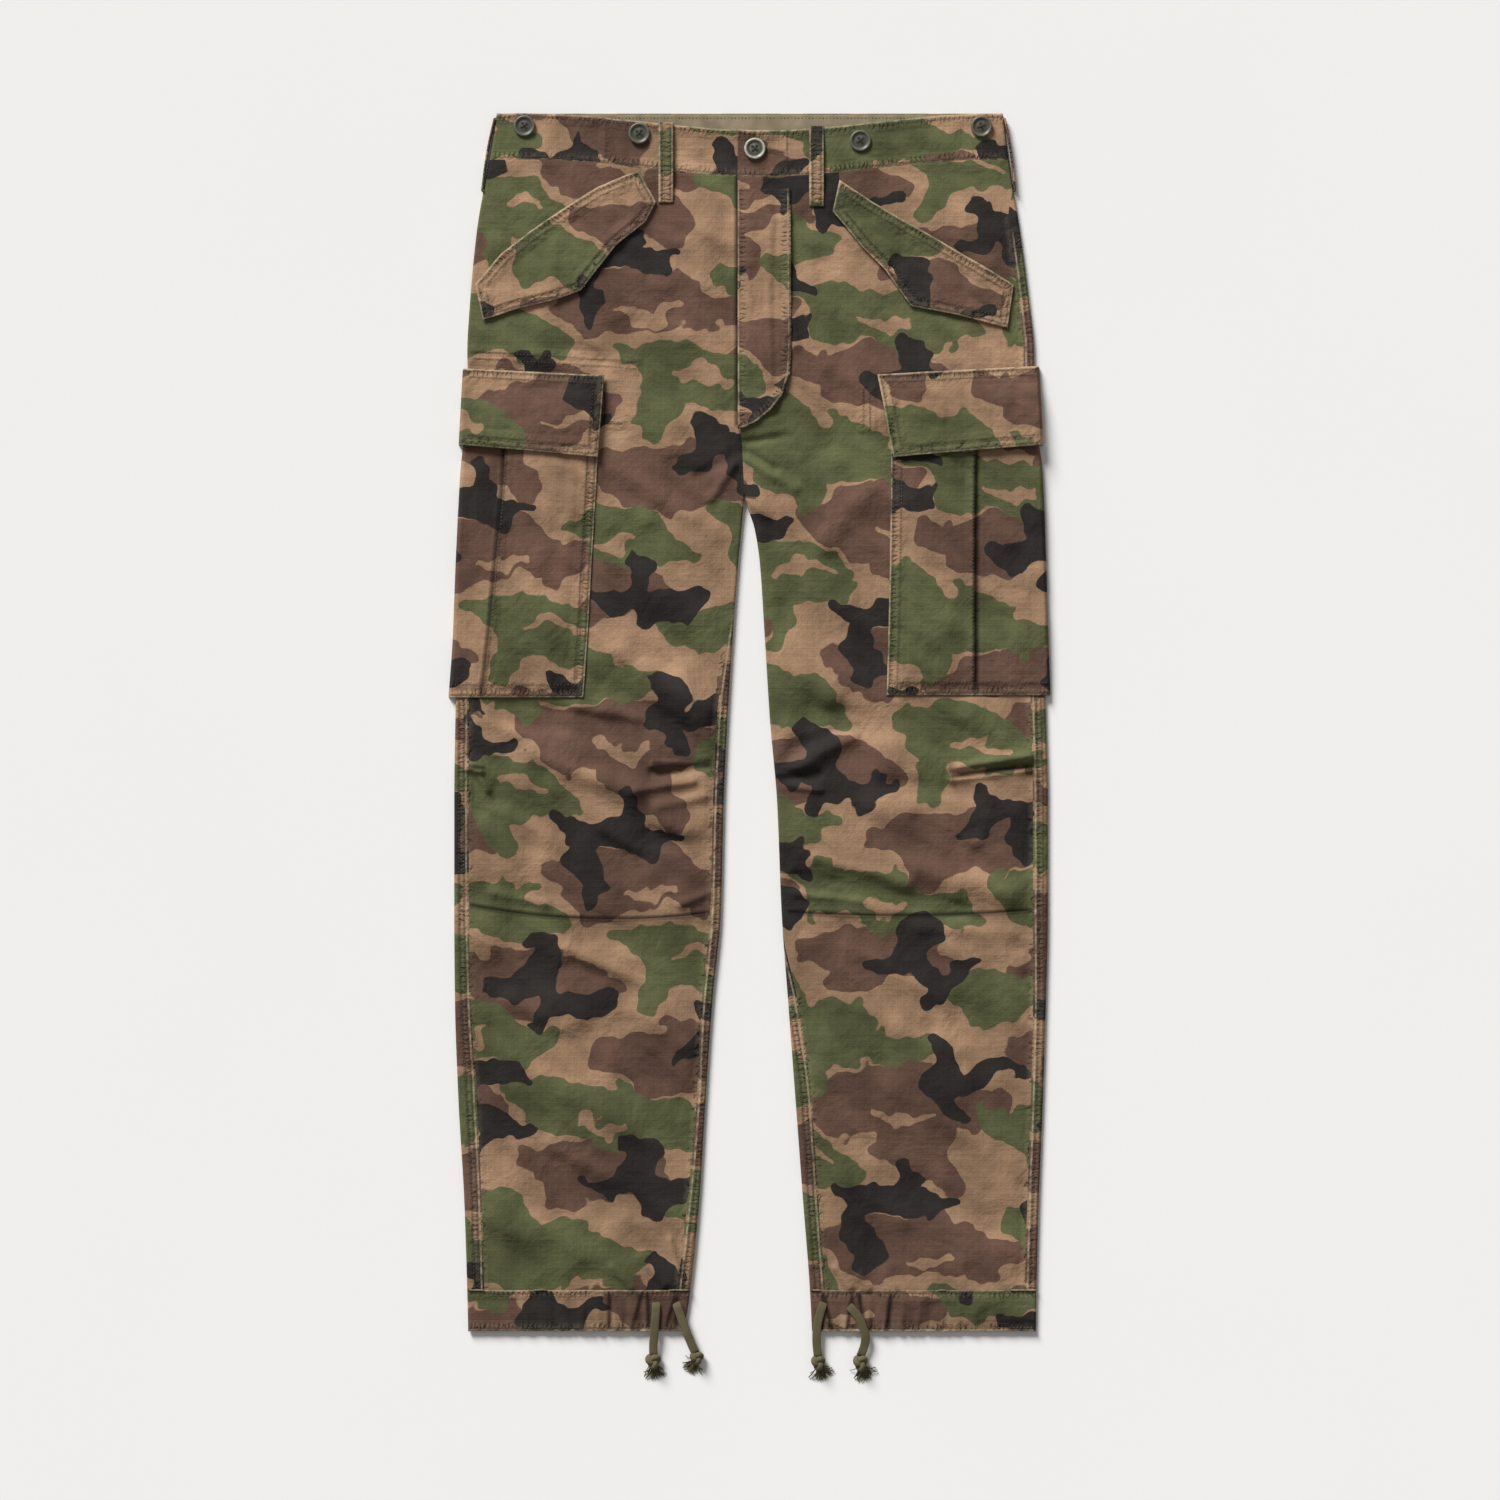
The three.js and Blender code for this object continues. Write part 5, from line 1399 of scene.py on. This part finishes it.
    def fly(self) -> None:
        """The fly placket: its free edge on the left of the photograph, its stitched edge curved in below."""
        wide, tall, columns = 46.5, 226.0, 26
        thickness, reach, from_edge = 1.0, 9.0, 1.6
        places = arc_places(FLY_EDGE[:, ::-1])
        t = np.linspace(0, 1, 150)
        y, to_x = (np.interp(t, places, FLY_EDGE[:, k])[:, None] for k in (0, 1))
        x = FLY_EDGE_X + (to_x - FLY_EDGE_X) * np.linspace(0, 1, columns)[None]
        surface = raised(lambda px, py: highest_near(top_of(Leg.LEFT), px, py, reach), SEAM_GAP + thickness)
        y = np.repeat(y, columns, 1)
        waves = 0.25 * np.sin(x * 0.42 + 1.0) * smooth((y - 290) / 60)
        points = grid(x, y - dip(x, y), surface(x, y) + waves)
        stitched = grid(to_x[:, 0] - from_edge, y[:, 0] + 0.6 - dip(to_x[:, 0], y[:, 0]))
        free = straight((FLY_EDGE_X + 0.4, 468, FLY_EDGE_X + 0.4, 262), 60)
        self.sew([stitched], over_dip(surface))
        self.cloth("fly_placket", rolled(points), flat=(wide, tall), area=0.9 * wide * tall,
                   rests_on=("front_panel_left",), stitch_lines=[stitched], edge_lines=[free, stitched])

    def hip_flap(self, leg: Leg) -> None:
        """Slanted flap over a hip pocket, its free edge standing a little off the front."""
        wide, tall, lift, reach = 176.0, 72.0, 1.1, 5.0
        # The soft crease across each flap: its height, x and half width.
        crease_height, crease_x, crease_half = (0.9, -172, 5) if leg is Leg.RIGHT else (0.6, 160, 7)
        rows = HIP_FLAPS[leg.label]
        t = np.linspace(0, 1, 110)
        x1, y1, x2, y2 = (np.interp(t, arc_places(rows[:, :2]), rows[:, k]) for k in range(4))
        v = np.linspace(0, 1, 40)[:, None]
        x, y = x1 + (x2 - x1) * v, y1 + (y2 - y1) * v
        base = highest_near(top_of(leg), x, y, reach) + SEAM_GAP + CLOTH
        crease = crease_height * np.exp(-(((x - crease_x) / crease_half) ** 2))
        z = base + lift * smooth(v) + crease * smooth(v * 1.6) + 0.2 * ripples(x, y, 16.0, 21)
        points = grid(x, y, z)
        sewn, *free = (points[part][:, :2] for part in ((0,), (-1,), (slice(None), 0), (slice(None), -1)))
        middle = np.array([x.mean(), y.mean()])
        lines = [inset_line(line, middle, d) for line in (*free, sewn) for d in (2.2, 7.6)]
        self.sew(lines, on_grid(points))
        self.cloth(f"hip_flap_{leg.label}", rolled(points), flat=(wide, tall), area=0.78 * wide * tall,
                   rests_on=(f"front_panel_{leg.label}",), stitch_lines=lines, edge_lines=[sewn],
                   plain_edges=free)

    def cargo_pocket(self, leg: Leg) -> None:
        """Bellows pocket with a pleat down its middle, sewn with a doubled strip round its edges."""
        rows, inward = CARGO_POCKETS[leg.label], leg.outer.inward
        beside_pleat, past_fold, behind_fold, bottom_y = 0.5, 4.6, 22.0, rows[-1, 0]
        y = np.linspace(rows[0, 0], bottom_y, 150)[:, None]
        stitched, pleat, outer = (curve(rows, k, y) for k in (1, 2, 3))
        to_pleat, from_pleat = (pleat + sign * inward * beside_pleat for sign in (1, -1))
        inner_part = stitched + (to_pleat - stitched) * np.linspace(0, 1, 48)[None]
        outer_part = from_pleat + (outer + inward * past_fold - from_pleat) * np.linspace(0, 1, 18)[None]
        x = np.concatenate([inner_part, outer_part], 1)
        base = pocket_top(leg)

        def soft(px: Array, py: Array) -> Array:
            return base(px, py) + 0.35 * ripples(px, py, 30.0, 31) * smooth((py - bottom_y) / 12)

        points = over_fold(leg, x, np.repeat(y, x.shape[1], 1), outer, soft, SEAM_GAP)
        span = np.linspace(stitched[-1, 0] - inward * 2, outer[-1, 0] + inward * 3, 60)
        lines = [
            *(grid(stitched[:, 0] - inward * d, y[:, 0]) for d in (1.8, 8.6)),
            *(grid(span, bottom_y + d) for d in (2.0, 10.5)),
            grid(pleat[:, 0] + inward * 1.6, y[:, 0]),
        ]
        self.sew(lines, raised(soft, 0.05))
        bottom = straight((stitched[-1, 0], bottom_y, outer[-1, 0], bottom_y), 2)
        wide = float(np.abs(outer[-1, 0] - stitched[-1, 0])) + 8
        # The pleat's fold holds a painted shade line.
        self.cloth(f"cargo_pocket_{leg.label}", rolled(points), flat=(wide + behind_fold, 284.0),
                   area=wide * 280.0, rests_on=(f"front_panel_{leg.label}",), stitch_lines=lines,
                   edge_lines=[grid(stitched[:, 0], y[:, 0]), bottom],
                   shaded_lines=[grid(pleat[:, 0] - inward * 0.9, y[:, 0])])

    def cargo_flap(self, leg: Leg) -> None:
        """Flap of a cargo pocket, lying on it and turned round the outer fold."""
        lift, turn, reach, behind_fold = 1.2, 7.0, 8.0, 8
        sewn, free = CARGO_FLAPS[leg.label]
        t = np.linspace(0, 1, 40)[:, None]
        x0, y0, x1, y1 = (sewn[k] + (free[k] - sewn[k]) * t for k in range(4))
        x = x0 + (x1 + leg.outer.inward * turn - x0) * np.linspace(0, 1, 70)[None]
        pocket = pocket_top(leg, is_pleated=False)

        def slant(px: Array) -> Array:
            return y0 + (y1 - y0) * (px - x0) / (x1 - x0)

        def lifted(px: Array, py: Array) -> Array:
            base = highest_near(pocket, px, py, reach) + SEAM_GAP + CLOTH
            return base + lift * smooth((sewn[1] - py) / 60.0) + 0.18 * ripples(px, py, 22.0, 41)

        points = over_fold(leg, x, slant(x), x1, lifted, 2 * SEAM_GAP)
        points[..., 1] = slant(points[..., 0])
        lower, inner, upper = points[-1, :, :2], points[:, 0, :2], points[0, :, :2]
        middle = np.array([x.mean(), y0.mean()])
        insets = ((lower, 2.2), (lower, 8.4), (inner, 2.2), (inner, 8.4), (upper, 2.0), (upper, 7.0))
        lines = [inset_line(line, middle, d) for line, d in insets]
        self.sew(lines, on_grid(points))
        wide = float(abs(sewn[2] - sewn[0])) + behind_fold
        self.cloth(f"cargo_flap_{leg.label}", rolled(points), flat=(wide, 71.0),
                   rests_on=(f"cargo_pocket_{leg.label}",), stitch_lines=lines, edge_lines=[upper],
                   plain_edges=[lower, inner])

    def hem_casing(self, leg: Leg) -> None:
        """Turned hem: a flat ring round the leg, gathered by the drawstring near the inner fold."""
        gathers, gathered_at, spread, gather_height = 12, 0.16, 0.24, 1.9
        near, fine_gathers, from_edge = 14, 27, 2.4
        y = np.linspace(CASING_TOP, HEM, 24)[:, None]
        down = np.linspace(0, 1, 24)[:, None]
        around = np.linspace(0, 1, near)[None] * math.pi * FOLD_RADIUS
        folds = (leg.outer, leg.inner)
        outer, inner = (round_fold(leg, edge, np.repeat(y, near, 1), around) for edge in folds)
        inner = inner[:, ::-1]
        s = np.linspace(0, 1, 160)[None, 1:-1]
        x = inner[:, -1:, 0] + (outer[:, :1, 0] - inner[:, -1:, 0]) * s
        envelope = np.sin(math.pi * s) * (0.3 + 0.7 * np.exp(-(((s - gathered_at) / spread) ** 2)))
        gather = gather_height * down * envelope * np.cos(2 * math.pi * gathers * s + 2.0 * down)
        fine = 0.5 * envelope * np.sin(2 * math.pi * fine_gathers * s + 4 * down) * down
        top = grid(x, y, PANEL_TOP + relief(leg, x, y) * (1 - down) + gather + fine)
        across = np.linspace(0, 1, 12)[None, 1:-1]
        floor_x = outer[:, -1:, 0] + (inner[:, :1, 0] - outer[:, -1:, 0]) * across
        points = np.concatenate([outer, grid(floor_x, y, 0.0), inner, top], 1)
        span = np.linspace(*(float(edge.x(CASING_TOP)) + edge.inward * 3 for edge in folds), 80)
        lines = [grid(span, level) for level in (CASING_TOP - from_edge, HEM + from_edge)]
        self.sew(lines, on_grid(top))
        # Painted shade lines in the gathers by the inner fold.
        creases = []
        for inset, slope in HEM_GATHERS:
            py = np.linspace(CASING_TOP - 5.0, HEM + 3.0, 12)
            creases.append(grid(leg.inner.x(py) + leg.inner.inward * (inset + slope * (py - HEM)), py))
        edges = [grid(span, level) for level in (CASING_TOP, HEM)]
        self.cloth(f"hem_casing_{leg.label}", ring_rolled(points), flat=(395.0, 38.0), is_ring=True,
                   stitch_lines=lines, edge_lines=edges, shaded_lines=creases)

    def front_loop(self, leg: Leg) -> None:
        """A belt loop over the front waistband, bowed up in the middle."""
        x0, top, bottom = BELT_LOOPS[leg.label]
        t = np.linspace(0, 1, 60)[:, None]
        y = top + (bottom - top) * t
        x = x0 + LOOP_WIDTH * np.linspace(-0.5, 0.5, 12)[None]
        wave = 0.25 * np.sin(y * 0.9) * np.abs(x - x0) / LOOP_WIDTH
        points = grid(x, y, PANEL_TOP + LOFT + SEAM_GAP + 1.6 + 1.4 * np.sin(math.pi * t) + wave)
        lines = [straight((x0 + d, top - 2, x0 + d, bottom + 2), 30) for d in (-3.6, 3.6)]
        edges = [straight((x0 + d, top, x0 + d, bottom), 30) for d in (-LOOP_WIDTH / 2, LOOP_WIDTH / 2)]
        self.sew(lines, on_grid(points))
        self.cloth(f"belt_loop_front_{leg.label}", rolled(points, radius=0.8),
                   flat=(LOOP_WIDTH, top - bottom), rests_on=(f"waistband_front_{leg.label}",),
                   stitch_lines=lines, edge_lines=edges)

    def side_loop(self, leg: Leg) -> None:
        """A belt loop on edge at the side seam, bowed out in the middle."""
        top, bottom, low, high = 531.0, 468.0, 0.5, 5.4
        t = np.linspace(0, 1, 50)[:, None]
        y = top + (bottom - top) * t
        away = SEAM_GAP + 1.6 + 1.6 * np.sin(math.pi * t)
        z = np.linspace(low, high, 10)[None]
        x = leg.outer.x(y) - leg.outer.inward * (away + 0.3 * np.sin(math.pi * (z - low) / (high - low)))
        self.cloth(f"belt_loop_side_{leg.label}", rolled(grid(x, y, z), radius=0.8),
                   flat=(LOOP_WIDTH, top - bottom), edge_lines=[grid(leg.outer.x(y)[:, 0], y[:, 0])])

    def build(self) -> None:
        """Makes every piece of cloth and then the stitches."""
        for leg in Leg:
            self.front_panel(leg)
            self.back_panel(leg)
            self.hip_flap(leg)
            self.cargo_pocket(leg)
            self.cargo_flap(leg)
            self.hem_casing(leg)
        for leg in Leg:
            self.waistband_front(leg)
        self.waistband_back()
        self.facing()
        self.fly()
        for leg in Leg:
            self.front_loop(leg)
        for leg in Leg:
            self.side_loop(leg)
        self.stitching.build("stitches")


class Notions:
    """The buttons, and the drawstring ends with their knots and frayed strands."""

    # Columns: radius, height, how pale: rubbed, and a painted highlight. Rings of a button from underneath,
    # out and over to the middle.
    BUTTON_PROFILE = np.array([
        [0.01, 0.0, 0], [8.5, 0.0, 0], [9.3, 0.6, 0.2], [9.5, 1.4, 0.5], [9.3, 2.3, 0.8], [8.7, 2.9, 1.0],
        [8.1, math.nan, 1.2], [7.4, 2.7, 0.7], [6.7, 2.0, 0.1], [6.2, 1.7, 0.0], [4.6, 1.7, 0.0],
        [4.1, 1.9, 0.2], [0.01, 1.9, 0.0],
    ])
    BUTTON_FACE = 1.9
    HOLE_RING, HOLE_RADIUS, THREAD_RING, THREAD_RADIUS = 2.8, 1.3, 2.5, 0.25

    def __init__(self, materials: Materials) -> None:
        """Keeps the materials."""
        self.materials = materials

    def button(self, name: str, x: float, y: float) -> None:
        """A four-hole button: turned rings of points with a raised rim and a sunk middle."""
        low, high = (np.array(c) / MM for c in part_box(name))
        radius, height, rim = (self.BUTTON_PROFILE[:, k : k + 1] for k in range(3))
        height = np.where(np.isnan(height), high[2] - low[2], height)
        around = np.linspace(0, 2 * math.pi, 48, endpoint=False)[None]
        points = grid(x + radius * np.cos(around), y + radius * np.sin(around), low[2] + height)
        # How pale the rims are: rubbed, and a painted highlight, brightest on the fly button.
        rim_wear_and_highlight = 1.7 if name == "button_fly" else 0.22
        quads = quads_of(*points.shape[:2], is_ring=True)
        rims = {"rim": np.repeat(rim, 48, 1) * rim_wear_and_highlight}
        dress(new_object(f"{name}_moulded", points, quads, self.materials.button, rims), "buttons", name)
        self.button_details(name, np.array([x, y, low[2] + self.BUTTON_FACE]))

    def button_details(self, name: str, centre: Array) -> None:
        """The four dark holes and the crossed threads that hold a button."""
        turn = np.radians(20.0 + 15.0 * (len(name) % 4))
        quarters = turn + np.arange(4) * math.pi / 2

        def ring(radius: float, angles: Array, up: float = 0.0) -> Array:
            return grid(radius * np.cos(angles), radius * np.sin(angles), up)

        rim = ring(self.HOLE_RADIUS, np.linspace(0, 2 * math.pi, 12, endpoint=False), 0.06)
        holes = centre + ring(self.HOLE_RING, quarters)[:, None] + rim
        corners = np.arange(48).reshape(4, 12)
        dress(new_object(f"{name}_holes", holes, corners, self.materials.hole), "buttons")
        ends = centre + ring(self.THREAD_RING, quarters)
        t = np.linspace(0, 1, 7)[:, None]
        bars = []
        for start, end in ((0, 2), (1, 3)):
            line = ends[start] + (ends[end] - ends[start]) * t
            line[:, 2] += 0.5 * np.sin(math.pi * t[:, 0])
            bars.append(tube(line, self.THREAD_RADIUS, 6))
        dress(new_object(f"{name}_thread", *join(bars), self.materials.hole_thread), "buttons")

    def drawstring(self, name: str) -> None:
        """A flat tape end on its route, and its knot with frayed strands."""
        route = TAPES[name]
        places = arc_places(route[:, :2])
        t = np.linspace(0, 1, 36)
        line = np.stack([np.interp(t, places, route[:, k]) for k in range(3)], -1)
        for _ in range(3):
            line[1:-1] = (line[:-2] + 2 * line[1:-1] + line[2:]) / 4
        # The far end runs on into the knot, and the near end dips into its slit.
        into_knot, slit_dip, inside = 3.4, 4.5, 8
        line = np.concatenate([line, line[-1:] + unit(line[-1:] - line[-3:-2]) * into_knot])
        line[:inside, 2] -= slit_dip * smooth(np.linspace(1, 0, inside))
        points = self.tape_surface(line)
        quads = quads_of(*points.shape[:2], is_ring=True)
        tape = new_object(f"drawstring_{name}_tape", points, quads, self.materials.tape)
        knot = self.knot(name)
        dress(tape, "tape", f"drawstring_{name}")

    @staticmethod
    def tape_surface(line: Array) -> Array:
        """Points round a flat tape: a flattened superellipse carried along its line, closed at both ends."""
        squareness_wide, squareness_deep, shut = 0.5, 0.7, 0.05
        ahead = unit(np.gradient(line, axis=0))
        across = unit(np.cross(ahead, [0.0, 0.0, 1.0]))
        thick = np.cross(across, ahead)
        angle = np.linspace(0, 2 * math.pi, 16, endpoint=False)
        wide = TAPE_WIDTH / 2 * np.sign(np.cos(angle)) * np.abs(np.cos(angle)) ** squareness_wide
        deep = TAPE_THICKNESS / 2 * np.sign(np.sin(angle)) * np.abs(np.sin(angle)) ** squareness_deep
        rings = line[:, None] + across[:, None] * wide[None, :, None] + thick[:, None] * deep[None, :, None]
        first = line[:1, None] + (rings[:1] - line[:1, None]) * shut
        last = line[-1:, None] + (rings[-1:] - line[-1:, None]) * shut
        return np.concatenate([first, rings, last])

    def knot(self, name: str) -> bpy.types.Object:
        """An overhand knot, a tube along a trefoil, with strands that fray out from under it."""
        x, y, half_w, half_h, half_d, fray = KNOTS[name]
        radius, from_middle = 2.7, 0.25
        t = np.linspace(0, 2 * math.pi, 90, endpoint=False)
        loop = np.stack([np.sin(t) + 2 * np.sin(2 * t), np.cos(t) - 2 * np.cos(2 * t), -np.sin(3 * t)], -1)
        scale = np.array([(half_w - radius) / 3.0, (half_h - radius) / 3.0, (half_d - radius)])
        centre = np.array([x, y, half_d + SEAM_GAP])
        parts = [tube(centre + loop * scale, radius, 12, is_closed=True)]
        rng = np.random.default_rng(RNG_SEED + len(name))
        s = np.linspace(from_middle, 1, 8)
        for _ in range(STRANDS):
            turn = math.radians(fray) + rng.normal(0, 0.3)
            reach = half_h + rng.uniform(3.0, 9.5)
            bend = rng.normal(0, 0.35)
            angle = turn + bend * (s - from_middle)
            height = half_d * (1 - s) ** 1.5 + 0.7 + rng.uniform(0, 1.8) * np.sin(math.pi * s)
            strand = np.stack([x + reach * s * np.cos(angle), y + reach * s * np.sin(angle), height], -1)
            parts.append(tube(strand, rng.uniform(0.3, 0.5), 4))
        thing = new_object(f"drawstring_knot_{name}_tied", *join(parts), self.materials.tape)
        return dress(thing, "tape", f"drawstring_knot_{name}")

    def build(self) -> None:
        """Makes the drawstring ends first, and then the buttons."""
        for name in TAPES:
            self.drawstring(name)
        for name, (x, y) in BUTTONS.items():
            self.button(name, x, y)


def tube(line: Array, radius: float, sides: int, is_closed: bool = False) -> tuple[Array, Array]:
    """A round tube along a line: a ring at each point, in the plane across the line there."""
    ahead = unit(np.roll(line, -1, 0) - np.roll(line, 1, 0) if is_closed else np.gradient(line, axis=0))
    helper = np.where(np.abs(ahead[:, 2:]) < 0.9, [[0.0, 0.0, 1.0]], [[1.0, 0.0, 0.0]])
    side = unit(np.cross(ahead, helper))
    other = np.cross(side, ahead)
    angle = np.linspace(0, 2 * math.pi, sides, endpoint=False)[None, :, None]
    rings = line[:, None] + radius * (side[:, None] * np.cos(angle) + other[:, None] * np.sin(angle))
    quads = quads_of(len(line), sides, is_ring=True)
    if is_closed:
        j = np.arange(sides)
        last = (len(line) - 1) * sides
        quads = np.concatenate([quads, np.stack([last + j, last + (j + 1) % sides, (j + 1) % sides, j], -1)])
    return rings.reshape(-1, 3), quads


def join(parts: Sequence[tuple[Array, Array]]) -> tuple[Array, Array]:
    """Several lots of vertices and quads as one."""
    vertices, faces, start = [], [], 0
    for points, quads in parts:
        vertices.append(points)
        faces.append(quads + start)
        start += len(points)
    return np.concatenate(vertices), np.concatenate(faces)


class Stage:
    """The pale surface, the soft light and the camera straight above, as in the photograph."""

    LENS, SENSOR = 85.0, 36.0
    FLOOR_HALF, FLOOR_GAP = 6000.0, 0.4
    SKY, SKY_COLOUR = 0.27, (1.0, 0.995, 0.985, 1.0)
    KEY = 4.85
    KEY_SPREAD = 24.0  # degrees; a wide lamp, so that shadows are soft
    KEY_TILT = 62.0  # degrees from straight down
    KEY_TURN = -62.0  # degrees; from the photograph's upper left

    def camera(self) -> None:
        """A long lens straight above the middle of the photograph's frame."""
        scene = bpy.context.scene
        data = bpy.data.cameras.new("camera")
        data.lens, data.sensor_width = self.LENS, self.SENSOR
        thing = bpy.data.objects.new("camera", data)
        pixel, middle = PHOTO_MM_PER_PX * MM, PHOTO_SIZE / 2
        away = PHOTO_SIZE * pixel * self.LENS / self.SENSOR + PANEL_TOP * MM
        thing.location = ((middle - PHOTO_X0) * pixel, (PHOTO_Y0 - middle) * pixel, away)
        scene.collection.objects.link(thing)
        scene.camera = thing

    def floor(self) -> None:
        """A wide pale floor just under the trousers."""
        board = mottled(Finish("painted_board_pale", roughness=0.95, specular=0.1), 3.0, "#EFEEEC", "#F1F0EE")
        corners = np.array([[-1, -1], [1, -1], [1, 1], [-1, 1]]) * self.FLOOR_HALF
        new_object("floor", grid(*corners.T, -self.FLOOR_GAP), [[0, 1, 2, 3]], board)

    def light(self) -> None:
        """A bright even sky, and a large soft lamp low at the upper left that models the creases."""
        scene = bpy.context.scene
        scene.world = bpy.data.worlds.new("studio")
        scene.world.use_nodes = True
        sky = scene.world.node_tree.nodes["Background"]
        sky.inputs["Color"].default_value = self.SKY_COLOUR
        sky.inputs["Strength"].default_value = self.SKY
        data = bpy.data.lights.new("key", "SUN")
        data.energy, data.angle = self.KEY, math.radians(self.KEY_SPREAD)
        lamp = bpy.data.objects.new("key", data)
        # A lamp shines down its own -Z: it is tipped back from straight down, and then turned round.
        lamp.rotation_euler = (0.0, math.radians(-self.KEY_TILT), math.radians(self.KEY_TURN))
        scene.collection.objects.link(lamp)
        scene.view_settings.view_transform = "Standard"
        scene.view_settings.look = "None"

    def build(self) -> None:
        """Sets the whole stage."""
        self.camera()
        self.floor()
        self.light()


def main() -> None:
    """Builds the stage, the drawstring ends and buttons, and then the cloth."""
    logging.basicConfig(level=logging.INFO)
    materials = Materials()
    Stage().build()
    Notions(materials).build()
    Trousers(materials).build()


if __name__ == "__main__":
    main()
